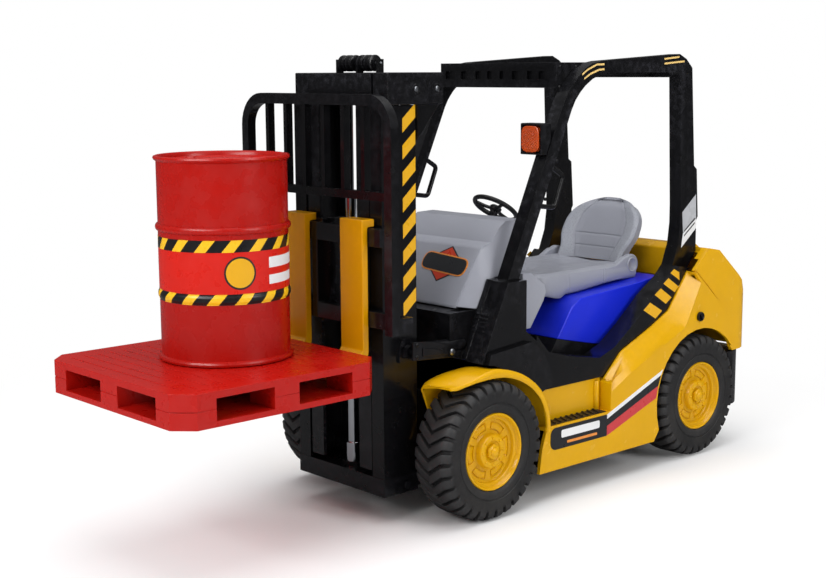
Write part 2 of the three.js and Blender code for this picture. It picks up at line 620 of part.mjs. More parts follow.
function tieRod() {
  const bar = box(-KINGPIN_X - 3.6, KINGPIN_X + 3.6, TIE_ROD_Y - 3.4, TIE_ROD_Y + 3.4, 56, 58.6);
  const hole = rod([KINGPIN_X, TIE_ROD_Y, 50], [KINGPIN_X, TIE_ROD_Y, 64], 2.2, 18);
  return cut(bar, hole, mirrored(hole));
}

add('front_axle', frontAxle(), STEEL);
add('front_left_rim', rim(FRONT_TYRE_OUT, 0), YELLOW);
add('front_left_tyre', tyre(FRONT_TYRE_OUT, 0), RUBBER);
add('front_right_rim', mirrored(rim(FRONT_TYRE_OUT, 0)), YELLOW);
add('front_right_tyre', mirrored(tyre(FRONT_TYRE_OUT, 0)), RUBBER);
add('drive_gear', gear(GEAR_RADIUS, 24, -3, 3, 0, 3.4), GREY);
add('drive_motor', motor(), STEEL);
add('motor_pinion', pinion(), BRASS);
add('rear_axle_beam', rearAxleBeam(), BLACK);
addPair('knuckle', knuckle(), BLACK);
add('tie_rod', tieRod(), STEEL);
add('rear_left_rim', rim(REAR_TYRE_OUT, WHEELBASE), YELLOW);
add('rear_left_tyre', tyre(REAR_TYRE_OUT, WHEELBASE), RUBBER);
add('rear_right_rim', mirrored(rim(REAR_TYRE_OUT, WHEELBASE)), YELLOW);
add('rear_right_tyre', mirrored(tyre(REAR_TYRE_OUT, WHEELBASE)), RUBBER);

// ---- power --------------------------------------------------------------------------
function batteryDoor() {
  const half = HATCH.half - GAP;
  return box(-half, half, HATCH.front + GAP, HATCH.rear - GAP, 22, 25);
}

function powerSwitch() {
  const knob = box(-3, 3, 207.5, 214.5, 20, 29);
  const slider = box(-12, 12, 204, 218, 26.3, 29);
  return join(knob, slider);
}

add('battery_pack', box(-28, 28, 92, 176, 31, 64), GREEN);
add('battery_door', batteryDoor(), BLACK);
add('power_switch', powerSwitch(), RED);

// ---- load ---------------------------------------------------------------------------
function pallet() {
  const half = PALLET_WIDTH / 2;
  const front = PALLET_REAR - PALLET_LENGTH;
  const corner = 12.75;
  const plan = [[half - corner, PALLET_REAR], [half, PALLET_REAR - corner], [half, front + corner],
    [half - corner, front], [corner - half, front], [-half, front + corner],
    [-half, PALLET_REAR - corner], [corner - half, PALLET_REAR]].reverse();
  const block = prismZ(plan, PALLET_BOTTOM, PALLET_TOP);
  const floor = PALLET_BOTTOM + PALLET_BOARD;
  const deck = PALLET_TOP - PALLET_DECK;
  const middle = PALLET_REAR - PALLET_LENGTH / 2 - 0.3;
  const forkPockets = [-59, 11].map((x) => box(x, x + 48, front - 1, PALLET_REAR + 1, floor, deck));
  const sidePockets = [-56.8, 10.3].map((y) =>
    box(-half - 1, half + 1, middle + y, middle + y + 46.5, floor, deck));
  return cut(block, ...forkPockets, ...sidePockets);
}

// Thin-walled drum with a sunk lid, open underneath.
function drum() {
  const base = PALLET_TOP + GAP;
  const top = base + DRUM_HEIGHT;
  const hoop = (z) => [[DRUM_RADIUS, z - 3], [DRUM_RADIUS + 1.6, z - 1.2], [DRUM_RADIUS + 1.6, z + 1.2],
    [DRUM_RADIUS, z + 3]];
  const wall = 1.8;
  const profile = [[0, top - 6], [DRUM_RADIUS - wall, top - 6], [DRUM_RADIUS - wall, base],
    [DRUM_RADIUS + 1.5, base], [DRUM_RADIUS + 1.5, base + 4], [DRUM_RADIUS, base + 5],
    ...hoop(base + 47), ...hoop(base + 94.5), [DRUM_RADIUS, top - 5], [DRUM_RADIUS + 1.5, top - 4],
    [DRUM_RADIUS + 1.5, top], [DRUM_RADIUS - 2, top], [DRUM_RADIUS - 3, top - 4], [0, top - 4]];
  return turnedZ(profile, ...DRUM_CENTRE);
}

add('pallet', pallet(), RED);
add('drum', drum(), RED);

export default truck;
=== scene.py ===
"""Looks for the toy forklift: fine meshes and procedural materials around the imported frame.

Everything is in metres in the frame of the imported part: origin on the ground at the middle of the
footprint, +X to the truck's left, -Y forward along the forks, +Z up. Shapes are drawn in millimetres
from the foot of the front axle, and settle() moves each finished piece into the frame.
"""

import json
import math

import bmesh
import bpy
from mathutils import Matrix, Vector


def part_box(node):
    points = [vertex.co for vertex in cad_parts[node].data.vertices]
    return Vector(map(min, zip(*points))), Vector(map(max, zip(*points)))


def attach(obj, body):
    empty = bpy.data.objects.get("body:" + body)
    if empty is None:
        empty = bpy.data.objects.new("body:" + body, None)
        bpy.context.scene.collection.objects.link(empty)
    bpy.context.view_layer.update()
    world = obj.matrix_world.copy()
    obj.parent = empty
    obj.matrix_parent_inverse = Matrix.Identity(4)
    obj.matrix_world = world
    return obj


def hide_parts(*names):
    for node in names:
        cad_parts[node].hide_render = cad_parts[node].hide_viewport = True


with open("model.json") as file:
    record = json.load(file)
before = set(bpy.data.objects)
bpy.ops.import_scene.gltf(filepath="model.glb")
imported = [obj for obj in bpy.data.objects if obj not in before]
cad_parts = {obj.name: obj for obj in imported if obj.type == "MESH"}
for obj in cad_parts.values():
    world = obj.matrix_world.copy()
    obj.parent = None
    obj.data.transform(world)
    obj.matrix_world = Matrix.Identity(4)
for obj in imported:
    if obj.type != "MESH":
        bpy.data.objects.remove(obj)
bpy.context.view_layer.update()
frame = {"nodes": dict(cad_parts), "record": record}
MM = 0.001
SIDES = (("left", 1), ("right", -1))
NODES = frame["nodes"]
BODY_OF = {node: body for body, nodes in frame["record"]["behaviour"]["bodies"].items() for node in nodes}
SLOT_OF = {part["node"]: part["material_slot"] for part in frame["record"]["subparts"]}
JOINTS = {joint["name"]: joint for joint in frame["record"]["behaviour"]["joints"]}
AXLE = Vector((0.0, JOINTS["front_wheel_spin"]["pos_m"][1], 0.0))


# ---- small geometry helpers ----
def mm(*values):
    return Vector([value * MM for value in values])


def low(node):
    """Lowest corner of a node's box in mm, from the foot of the front axle."""
    return (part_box(node)[0] - AXLE) / MM


def high(node):
    """Highest corner of a node's box in mm, from the foot of the front axle."""
    return (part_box(node)[1] - AXLE) / MM


def arc(cx, cy, radius, start, end, steps):
    angles = [math.radians(start + (end - start) * i / steps) for i in range(steps + 1)]
    return [(cx + radius * math.cos(a), cy + radius * math.sin(a)) for a in angles]


def link(name, mesh):
    obj = bpy.data.objects.new(name, mesh)
    bpy.context.scene.collection.objects.link(obj)
    return obj


def finish_mesh(bm, name):
    bmesh.ops.recalc_face_normals(bm, faces=bm.faces)
    mesh = bpy.data.meshes.new(name)
    bm.to_mesh(mesh)
    bm.free()
    return link(name, mesh)


def apply_modifiers(obj):
    bpy.context.view_layer.update()
    graph = bpy.context.evaluated_depsgraph_get()
    mesh = bpy.data.meshes.new_from_object(obj.evaluated_get(graph))
    obj.modifiers.clear()
    obj.data = mesh
    return obj


def soften(obj, width, segments=2, angle=30, smooth=40):
    """Rounds every edge sharper than angle by width (mm), and shades the result smoothly."""
    if width:
        bevel = obj.modifiers.new("bevel", "BEVEL")
        bevel.width = width * MM
        bevel.segments = segments
        bevel.limit_method = "ANGLE"
        bevel.angle_limit = math.radians(angle)
        bevel.use_clamp_overlap = True
        bevel.miter_outer = "MITER_ARC"
        apply_modifiers(obj)
    obj.data.shade_smooth()
    obj.data.set_sharp_from_angle(angle=math.radians(smooth))
    if width:
        normals = obj.modifiers.new("normals", "WEIGHTED_NORMAL")
        normals.keep_sharp = True
        apply_modifiers(obj)
    return obj


def settle(obj, body, material, *replaced, slot=None):
    """Gives a finished piece its material and body, and hides the CAD nodes it stands for.

    The slot argument is not used.
    """
    obj.data.transform(Matrix.Translation(AXLE))
    obj.data.materials.clear()
    obj.data.materials.append(material)
    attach(obj, body)
    if replaced:
        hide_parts(*replaced)
    return obj


def refined_copy(node, name=None):
    """A clean n-gon copy of a CAD node's mesh, ready for rounding and cutting."""
    bm = bmesh.new()
    bm.from_mesh(NODES[node].data)
    bmesh.ops.remove_doubles(bm, verts=bm.verts, dist=2e-6)
    bmesh.ops.dissolve_limit(bm, angle_limit=math.radians(1.0), verts=bm.verts, edges=bm.edges)
    bm.transform(Matrix.Translation(-AXLE))
    return finish_mesh(bm, name or node + "_skin")


def ringed(name, rings, loop=False):
    """Closed mesh through rings of points (mm). The ends meet in a loop, or else each gets a cap."""
    bm = bmesh.new()
    made = [[bm.verts.new(mm(*point)) for point in ring] for ring in rings]
    pairs = list(zip(made, made[1:]))
    if loop:
        pairs.append((made[-1], made[0]))
    else:
        bm.faces.new(made[0])
        bm.faces.new(made[-1][::-1])
    for near, far in pairs:
        for i in range(len(near)):
            j = (i + 1) % len(near)
            bm.faces.new((near[i], near[j], far[j], far[i]))
    bmesh.ops.remove_doubles(bm, verts=bm.verts, dist=1e-7)
    return finish_mesh(bm, name)


# Outlines are drawn in (y, z) for axis x, (x, z) for axis y and (x, y) for axis z.
PLACE = {"x": lambda u, v, w: (w, u, v), "y": lambda u, v, w: (u, w, v), "z": lambda u, v, w: (u, v, w)}


def extruded(name, outline, start, end, axis="x"):
    """Closed prism from start to end along the axis, in mm."""
    return ringed(name, [[PLACE[axis](u, v, w) for u, v in outline] for w in (start, end)])


def band(name, outer, inner, start, end, axis):
    """Closed frame between an outer and an inner outline, from start to end along the axis."""
    place = PLACE[axis]
    rings = [[place(*a, start), place(*a, end), place(*b, end), place(*b, start)]
             for a, b in zip(outer, inner)]
    return ringed(name, rings, loop=True)


def turned(name, profile, steps, middle=(0, 0, 0)):
    """Solid of revolution round a z axis at middle, from a closed line of (radius, height) in mm."""
    rings = []
    for i in range(steps):
        angle = 2 * math.pi * i / steps
        rings.append([(middle[0] + r * math.cos(angle), middle[1] + r * math.sin(angle), middle[2] + h)
                      for r, h in profile])
    return ringed(name, rings, loop=True)


def swept(name, points, radius, corner, sides=16):
    """Round rod along straight stretches with rounded corners, as a closed mesh (mm)."""
    points = [Vector(p) for p in points]
    path = [points[0]]
    for before, at, after in zip(points, points[1:], points[2:]):
        a = at + (before - at).normalized() * corner
        b = at + (after - at).normalized() * corner
        path += [a.lerp(at, t).lerp(at.lerp(b, t), t) for t in [i / 6 for i in range(7)]]
    path.append(points[-1])
    tangent = (path[1] - path[0]).normalized()
    side = tangent.orthogonal().normalized()
    rings = []
    for i, point in enumerate(path):
        ahead = path[min(i + 1, len(path) - 1)] - path[max(i - 1, 0)]
        new_tangent = ahead.normalized()
        side = tangent.rotation_difference(new_tangent) @ side
        tangent = new_tangent
        other = tangent.cross(side)
        angles = [2 * math.pi * k / sides for k in range(sides)]
        rings.append([point + radius * (math.cos(a) * side + math.sin(a) * other) for a in angles])
    return ringed(name, rings)


def carve(obj, tool, operation="DIFFERENCE"):
    """Cuts the tool out of obj, or with INTERSECT keeps only what lies inside it."""
    cutter = obj.modifiers.new("cut", "BOOLEAN")
    cutter.operation = operation
    cutter.solver = "EXACT"
    cutter.object = tool
    apply_modifiers(obj)
    bpy.data.objects.remove(tool)
    return obj


def joined(name, pieces):
    """One object holding several separate solids."""
    bm = bmesh.new()
    for piece in pieces:
        bm.from_mesh(piece.data)
        bpy.data.objects.remove(piece)
    mesh = bpy.data.meshes.new(name)
    bm.to_mesh(mesh)
    bm.free()
    return link(name, mesh)


def oblong(left, foot, right, top):
    return [(left, foot), (right, foot), (right, top), (left, top)]


def rounded(outline, radius):
    """Outline with every corner replaced by a short curve."""
    steps = 5
    result = []
    count = len(outline)
    for i in range(count):
        before, at, after = (Vector(outline[(i + k) % count]) for k in (-1, 0, 1))
        a = at + (before - at).normalized() * min(radius, (before - at).length / 2.05)
        b = at + (after - at).normalized() * min(radius, (after - at).length / 2.05)
        result += [tuple(a.lerp(at, t).lerp(at.lerp(b, t), t)) for t in [k / steps for k in range(steps + 1)]]
    return result


def outward(x, y, z, sign=1):
    """Placing for a shape drawn on the z axis: it points out sideways from x, y, z (mm)."""
    return Matrix.Translation(mm(x, y, z)) @ Matrix.Rotation(sign * math.pi / 2, 4, "Y")


def mirrored(obj):
    """Turns a left-hand piece into the right-hand one."""
    obj.data.transform(Matrix.Scale(-1, 4, (1, 0, 0)))
    obj.data.flip_normals()


# ---- materials ----
def linear(red, green, blue, shade=1.0):
    """Scene-linear colour from display values of 0-255, made lighter or darker by shade."""
    parts = [min(value / 255, 1.0) for value in (red, green, blue)]
    parts = [c / 12.92 if c <= 0.04045 else ((c + 0.055) / 1.055) ** 2.4 for c in parts]
    return tuple(min(c * shade, 1.0) for c in parts) + (1.0,)


class Graph:
    """Builds one node material around a Principled shader."""

    def __init__(self, name):
        self.material = bpy.data.materials.new(name)
        self.material.use_nodes = True
        self.tree = self.material.node_tree
        self.shader = self.tree.nodes["Principled BSDF"]
        self.place = self.node("ShaderNodeTexCoord").outputs["Object"]

    def node(self, kind, inputs=None, **settings):
        made = self.tree.nodes.new(kind)
        for key, value in settings.items():
            setattr(made, key, value)
        for key, value in (inputs or {}).items():
            self.feed(made.inputs[key], value)
        return made

    def feed(self, socket, value):
        if isinstance(value, bpy.types.NodeSocket):
            self.tree.links.new(value, socket)
        else:
            socket.default_value = value

    def set(self, **inputs):
        for key, value in inputs.items():
            self.feed(self.shader.inputs[key.replace("_", " ")], value)

    def stretched(self, factors):
        return self.node("ShaderNodeMapping", {"Vector": self.place, "Scale": factors}).outputs["Vector"]

    def noise(self, scale, detail, place=None):
        inputs = {"Vector": place or self.place, "Scale": scale, "Detail": detail}
        return self.node("ShaderNodeTexNoise", inputs).outputs["Fac"]

    def cells(self, scale):
        return self.node("ShaderNodeTexVoronoi", {"Vector": self.place, "Scale": scale}).outputs["Distance"]

    def remap(self, value, low_out, high_out, low_in=0.3, high_in=0.7):
        inputs = {0: value, 1: low_in, 2: high_in, 3: low_out, 4: high_out}
        return self.node("ShaderNodeMapRange", inputs).outputs[0]

    def calc(self, operation, first, second=0.0):
        return self.node("ShaderNodeMath", {0: first, 1: second}, operation=operation).outputs[0]

    def mix(self, factor, first, second):
        inputs = {0: factor, 6: first, 7: second}
        return self.node("ShaderNodeMix", inputs, data_type="RGBA").outputs[2]

    def edges(self, low_in=0.52, high_in=0.62):
        pointy = self.node("ShaderNodeNewGeometry").outputs["Pointiness"]
        return self.remap(pointy, 0.0, 1.0, low_in, high_in)

    def bump(self, height, strength, depth, normal=None):
        inputs = {"Height": height, "Strength": strength, "Distance": depth}
        if normal:
            inputs["Normal"] = normal
        return self.node("ShaderNodeBump", inputs).outputs["Normal"]


def moulded(graph, base, roughness, grain, edge_wear_and_highlight, edge_wear_and_highlight_colour):
    """Shared look of a moulded part: lighter edges (wear, and on the black plastic mostly painted highlight),
    uneven gloss, slight sink waves and a fine grain.
    """
    edge_patchiness = graph.remap(graph.noise(220, 6), 0.15, 1.0, 0.45, 0.7)
    # Lighter edges: wear on most plastics, and on the black plastic a painted highlight along its bevels.
    lighter_edge_mask = graph.calc("MULTIPLY", graph.calc("MULTIPLY", graph.edges(), edge_patchiness), edge_wear_and_highlight)
    base = graph.mix(lighter_edge_mask, base, edge_wear_and_highlight_colour)
    gloss = graph.remap(graph.noise(90, 6), roughness - 0.07, roughness + 0.09)
    waves = graph.bump(graph.noise(45, 2), 0.12, 0.0006)
    skin = graph.bump(graph.noise(2600, 2), grain, 0.00012, waves)
    graph.set(Base_Color=base, Roughness=gloss, Normal=skin)
    return graph.material


def plastic(name, colour, roughness, spread, grain, edge_wear_and_highlight, lift=1.5):
    """Plastic or print: spread is how uneven the colour is, lift how much lighter its edges are, as wear and,
    on the black plastic, as painted highlight.
    """
    graph = Graph(name)
    cloud = graph.noise(35, 5)
    base = graph.mix(cloud, linear(*colour, 1 - spread), linear(*colour, 1 + spread))
    graph.set(Specular_IOR_Level=0.4)
    return moulded(graph, base, roughness, grain, edge_wear_and_highlight, linear(*colour, lift))


def rubber():
    """Dark tyre rubber with dust and lighter worn edges."""
    graph = Graph("tyre_rubber_look")
    cloud = graph.noise(60, 6)
    base = graph.mix(cloud, linear(24, 24, 26), linear(38, 37, 37))
    dust = graph.calc("MULTIPLY", graph.remap(graph.noise(26, 5), 0.0, 1.0, 0.5, 0.75), 0.18)
    base = graph.mix(dust, base, linear(92, 88, 82))
    lighter_edge_mask = graph.calc("MULTIPLY", graph.edges(0.52, 0.6), 0.3)
    base = graph.mix(lighter_edge_mask, base, linear(82, 82, 84))
    waves = graph.bump(graph.cells(420), 0.1, 0.0003)
    skin = graph.bump(graph.noise(1800, 3), 0.35, 0.0002, waves)
    graph.set(Base_Color=base, Roughness=graph.remap(graph.noise(150, 5), 0.5, 0.75), Normal=skin)
    return graph.material


def metal(name, colour, roughness, brush=(1, 1, 60), strength=0.06):
    """Bare metal with fine lines: brush stretches them along the axes."""
    graph = Graph(name)
    place = graph.stretched(brush)
    lines = graph.noise(55, 5, place)
    base = graph.mix(graph.noise(40, 4), linear(*colour, 0.86), linear(*colour, 1.05))
    gloss = graph.remap(lines, roughness * 0.7, roughness * 1.5)
    graph.set(Base_Color=base, Metallic=1.0, Roughness=gloss, Normal=graph.bump(lines, strength, 0.0002))
    return graph.material


def clear_amber():
    graph = Graph("amber_lens_look")
    base = graph.mix(graph.noise(70, 4), linear(196, 66, 20), linear(222, 92, 34))
    skin = graph.bump(graph.cells(900), 0.3, 0.0003)
    graph.set(Base_Color=base, Roughness=graph.remap(graph.noise(200, 4), 0.1, 0.2), Normal=skin)
    graph.set(Transmission_Weight=0.25, IOR=1.49, Coat_Weight=0.5, Coat_Roughness=0.06)
    return graph.material


def speckled():
    graph = Graph("bolster_speckle_look")
    flecks = graph.remap(graph.cells(1100), 1.0, 0.0, 0.18, 0.3)
    base = graph.mix(flecks, linear(156, 159, 168), linear(96, 99, 110))
    return moulded(graph, base, 0.5, 0.4, 0.15, linear(200, 202, 210))


YELLOW = plastic("yellow_plastic_look", (217, 163, 6), 0.2, 0.05, 0.14, 0.35, 1.3)
FORK_YELLOW = plastic("fork_yellow_look", (214, 150, 3), 0.18, 0.06, 0.08, 0.3, 1.4)
# The black plastic's strong edge lightening is mostly painted highlight along its bevels, not wear.
BLACK = plastic("black_plastic_look", (12, 12, 14), 0.2, 0.25, 0.14, 0.7, 9.0)
SATIN_BLACK = plastic("satin_black_look", (18, 18, 20), 0.4, 0.2, 0.4, 0.3, 5.0)
GREY = plastic("grey_plastic_look", (150, 152, 162), 0.36, 0.04, 0.3, 0.3, 1.25)
BLUE = plastic("blue_plastic_look", (24, 42, 210), 0.18, 0.07, 0.12, 0.3, 1.8)
RED = plastic("red_plastic_look", (168, 15, 6), 0.27, 0.07, 0.18, 0.35, 1.5)
PALLET_RED = plastic("pallet_red_look", (176, 17, 8), 0.3, 0.04, 0.1, 0.12, 1.5)
YELLOW_PRINT = plastic("yellow_print_look", (224, 168, 22), 0.3, 0.05, 0.1, 0.0)
RED_STRIPE = plastic("red_stripe_look", (196, 62, 66), 0.3, 0.05, 0.1, 0.0)
ORANGE_RED = plastic("orange_red_print_look", (196, 58, 34), 0.3, 0.05, 0.1, 0.0)
WHITE = plastic("white_print_look", (228, 229, 230), 0.4, 0.03, 0.1, 0.0)
SILVER = plastic("silver_print_look", (176, 178, 182), 0.3, 0.08, 0.1, 0.0)
DARK_LABEL = plastic("dark_label_look", (38, 39, 42), 0.34, 0.12, 0.1, 0.1)
RED_LABEL = plastic("red_label_look", (206, 26, 12), 0.3, 0.05, 0.1, 0.0)
GOLD_PRINT = plastic("gold_print_look", (232, 196, 120), 0.3, 0.05, 0.1, 0.0)
ORANGE_PRINT = plastic("orange_print_look", (226, 140, 60), 0.3, 0.05, 0.1, 0.0)
WRAP = plastic("battery_wrap_look", (31, 107, 58), 0.35, 0.08, 0.1, 0.2)
RUBBER = rubber()
CHROME = metal("chrome_look", (214, 217, 221), 0.12)
STEEL = metal("steel_look", (160, 163, 168), 0.3, (60, 1, 1), 0.12)
BRASS = metal("brass_look", (201, 160, 74), 0.28, (60, 1, 1), 0.1)
LENS = clear_amber()
SPECKLE = speckled()
# The looks of each slot of the record. The first is the one its CAD nodes get.
LOOKS = {
    "yellow_plastic": (YELLOW, FORK_YELLOW, YELLOW_PRINT, GOLD_PRINT, ORANGE_PRINT),
    "black_plastic": (BLACK, SATIN_BLACK, DARK_LABEL),
    "grey_plastic": (GREY, SILVER, WHITE),
    "red_plastic": (RED, PALLET_RED, RED_LABEL, RED_STRIPE, ORANGE_RED),
    "blue_plastic": (BLUE,), "tyre_rubber": (RUBBER,), "chrome": (CHROME,), "steel": (STEEL,),
    "amber_lens": (LENS,), "brass": (BRASS,), "battery_wrap": (WRAP,),
}


# ---- stage: floor, light and camera ----
# Strength of the dome below the horizon and overhead.
DIFFUSE_DOME = (0.26, 0.52)
GLOSSY_DOME = (0.03, 0.3)
CAMERA_FROM_AXLE = Vector((0.81888, -0.73585, 0.34226))
CAMERA_AZIMUTH = 47.77
CAMERA_ELEVATION = 8.97
CAMERA_ROLL = -0.35
CAMERA_LENS = 60.68


def studio_world():
    """White to the camera, an even soft dome for diffuse light and a dim one for mirror reflections."""
    world = bpy.data.worlds.new("studio")
    bpy.context.scene.world = world
    world.use_nodes = True
    tree = world.node_tree
    background = tree.nodes["Background"]
    up = tree.nodes.new("ShaderNodeTexCoord").outputs["Generated"]
    split = tree.nodes.new("ShaderNodeSeparateXYZ")
    tree.links.new(up, split.inputs[0])
    paths = tree.nodes.new("ShaderNodeLightPath")
    levels = []
    for floor_level, sky_level in (DIFFUSE_DOME, GLOSSY_DOME):
        ramp = tree.nodes.new("ShaderNodeMapRange")
        tree.links.new(split.outputs["Z"], ramp.inputs[0])
        for index, value in ((1, -0.1), (2, 0.9), (3, floor_level), (4, sky_level)):
            ramp.inputs[index].default_value = value
        levels.append(ramp.outputs[0])
    glossy, camera = (tree.nodes.new("ShaderNodeMix") for _ in range(2))
    tree.links.new(paths.outputs["Is Glossy Ray"], glossy.inputs[0])
    tree.links.new(levels[0], glossy.inputs[2])
    tree.links.new(levels[1], glossy.inputs[3])
    tree.links.new(paths.outputs["Is Camera Ray"], camera.inputs[0])
    tree.links.new(glossy.outputs[0], camera.inputs[2])
    camera.inputs[3].default_value = 1.0
    tree.links.new(camera.outputs[0], background.inputs["Strength"])
    background.inputs["Color"].default_value = (1.0, 1.0, 1.0, 1.0)


def area_light(name, place, target, size, power):
    light = bpy.data.lights.new(name, "AREA")
    light.shape = "RECTANGLE"
    light.size, light.size_y = size
    light.energy = power
    obj = bpy.data.objects.new(name, light)
    bpy.context.scene.collection.objects.link(obj)
    obj.location = place
    obj.rotation_euler = (Vector(target) - Vector(place)).to_track_quat("-Z", "Y").to_euler()


def studio_floor():
    """White sweep: it takes shadows near the truck and fades to plain white with distance."""
    bm = bmesh.new()
    bmesh.ops.create_grid(bm, x_segments=40, y_segments=40, size=6.0)
    for vert in bm.verts:
        vert.co.z = -0.0002
    floor = finish_mesh(bm, "studio_floor")
    graph = Graph("studio_floor_look")
    paths = graph.node("ShaderNodeLightPath")
    base = graph.mix(graph.noise(3, 4), linear(244, 244, 245), linear(250, 250, 250))
    # Seen in reflections the floor is painted a darker grey: painted shade that keeps its reflection in the
    # glossy parts dim.
    base = graph.mix(paths.outputs["Is Glossy Ray"], base, linear(120, 120, 122))
    graph.set(Base_Color=base, Roughness=graph.remap(graph.noise(8, 3), 0.6, 0.75), Specular_IOR_Level=0.1)
    reach = graph.node("ShaderNodeVectorMath", {0: graph.place}, operation="LENGTH").outputs["Value"]
    far = graph.calc("MULTIPLY", graph.remap(reach, 0.0, 1.0, 0.2, 0.6), paths.outputs["Is Camera Ray"])
    white = graph.node("ShaderNodeEmission", {"Color": (1.0, 1.0, 1.0, 1.0), "Strength": 1.0})
    blend = graph.node("ShaderNodeMixShader", {0: far, 1: graph.shader.outputs[0], 2: white.outputs[0]})
    graph.tree.links.new(blend.outputs[0], graph.tree.nodes["Material Output"].inputs["Surface"])
    floor.data.materials.append(graph.material)


def photo_camera():
    camera = bpy.data.cameras.new("photo_camera")
    camera.sensor_width = 36.0
    camera.lens = CAMERA_LENS
    obj = bpy.data.objects.new("photo_camera", camera)
    bpy.context.scene.collection.objects.link(obj)
    turn = Matrix.Rotation(math.radians(CAMERA_AZIMUTH), 4, "Z")
    tilt = Matrix.Rotation(math.radians(90 - CAMERA_ELEVATION), 4, "X")
    roll = Matrix.Rotation(math.radians(CAMERA_ROLL), 4, "Z")
    obj.matrix_world = Matrix.Translation(AXLE + CAMERA_FROM_AXLE) @ turn @ tilt @ roll
    bpy.context.scene.camera = obj


def build_stage():
    studio_world()
    studio_floor()
    photo_camera()
    bpy.context.scene.view_settings.view_transform = "Standard"
    area_light("key", (0.2, -1.4, 1.0), (0, 0.05, 0.15), (1.0, 0.6), 14)
    area_light("side", (1.6, 0.3, 0.9), (0, 0.05, 0.15), (0.6, 1.0), 10)
    area_light("top", (0, 0.05, 1.5), (0, 0.05, 0), (1.4, 1.4), 15)


# ---- refined copies of the CAD shapes ----
DEFAULT_ROUNDING = 0.5
# Edge rounding in mm, by node name without its side.
ROUNDING = {
    "chassis_frame": 0.8, "engine_cover": 1.6, "rear_bumper": 1.2, "steering_column": 0.4, "outer_mast": 0.6,
    "mast_cap": 0.9, "carriage": 0.9, "load_guard": 1.5, "fork": 1.2, "cab_frame": 1.3, "lamp_housing": 0.7,
    "rear_axle_beam": 0.8, "knuckle": 0.4, "drive_gear": 0.2, "motor_pinion": 0.15, "power_switch": 0.4,
}


def refine(node):
    """Stands in for a CAD node with the same shape, its edges rounded."""
    kind = node.removeprefix("left_").removeprefix("right_")
    look = FORK_YELLOW if kind == "fork" else LOOKS[SLOT_OF[node]][0]
    skin = soften(refined_copy(node), ROUNDING.get(kind, DEFAULT_ROUNDING))
    settle(skin, BODY_OF[node], look, node)


# ---- wheels ----
WHEEL_Z = JOINTS["front_wheel_spin"]["pos_m"][2] / MM
REAR_Y = (JOINTS["rear_left_spin"]["pos_m"][1] - AXLE.y) / MM
TYRE_HALF = 18.0
PITCHES = 32
# Shape of one lug along the tread: (share of the pitch, share of the way from groove to lug).
LUG_STEPS = ((0.0, 0.0), (0.2, 0.0), (0.27, 0.93), (0.33, 1.0), (0.87, 1.0), (0.93, 0.93))
# Each row runs round the tyre: (side, radius) on the groove floor, then on the lug.
TYRE_ROWS = [
    ((16.4, 30.5), (16.4, 30.5)), ((17.4, 31.4), (17.4, 31.4)), ((18.0, 33.4), (18.0, 33.4)),
    ((18.1, 36.6), (18.1, 36.6)), ((17.5, 37.2), (17.5, 37.2)), ((17.5, 38.0), (17.5, 38.0)),
    ((18.0, 38.6), (18.0, 38.6)), ((18.1, 42.0), (18.1, 42.0)), ((18.0, 45.2), (18.0, 45.2)),
    ((17.3, 46.6), (18.2, 46.4)), ((16.2, 47.6), (18.2, 48.2)), ((15.0, 49.2), (17.4, 50.4)),
    ((13.0, 50.3), (15.6, 52.6)), ((11.4, 50.6), (13.2, 53.6)), ((9.0, 50.6), (10.0, 54.0)),
    ((6.0, 50.6), (6.4, 54.0)), ((3.0, 50.6), (3.2, 54.0)), ((0.0, 50.9), (0.0, 54.0)),
]


def tyre_rows():
    """Both halves of the cross-section. The loop closes over the inner face between the beads."""
    return TYRE_ROWS + [tuple((-side, radius) for side, radius in pair) for pair in TYRE_ROWS[-2::-1]]


def tyre(name, middle, y, sign):
    """Chunky tyre: V-shaped lugs that meet in the middle and wrap on to the sidewalls."""
    rings = []
    for floor, lug in tyre_rows():
        lean = 0.85 * (1 - min(abs(lug[0]), 14.0) / 14.0)
        ring = []
        for pitch in range(PITCHES):
            for phase, rise in LUG_STEPS:
                side = floor[0] + (lug[0] - floor[0]) * rise
                radius = floor[1] + (lug[1] - floor[1]) * rise
                angle = 2 * math.pi * (pitch + phase + lean) / PITCHES
                ring.append((middle + sign * side, y + radius * math.cos(angle),
                             WHEEL_Z + radius * math.sin(angle)))
        rings.append(ring)
    return soften(ringed(name, rings, loop=True), 0, smooth=33)


def ring_of(count, radius):
    angles = [2 * math.pi * i / count for i in range(count)]
    return [(radius * math.cos(a), radius * math.sin(a)) for a in angles]


def kidney(start, end, inner, outer):
    return arc(0, 0, outer, start, end, 8) + arc(0, 0, inner, end, start, 8)


RIM_PROFILE = [
    (3.4, -18.0), (8.0, -20.0), (8.0, -12.0), (27.4, -12.0), (27.4, -35.0), (30.2, -35.0), (30.2, -2.0),
    (29.8, -1.2), (29.2, -0.9), (28.6, -1.1), (28.1, -1.8), (27.8, -4.2), (27.2, -4.9), (25.8, -5.0),
    (25.2, -5.4), (24.9, -7.6), (24.3, -8.2), (14.4, -8.2), (13.6, -7.9), (13.2, -7.2), (13.0, -3.6),
    (12.6, -2.9), (12.0, -2.7), (8.6, -2.7), (8.2, -3.0), (8.0, -3.8), (3.4, -3.8)]


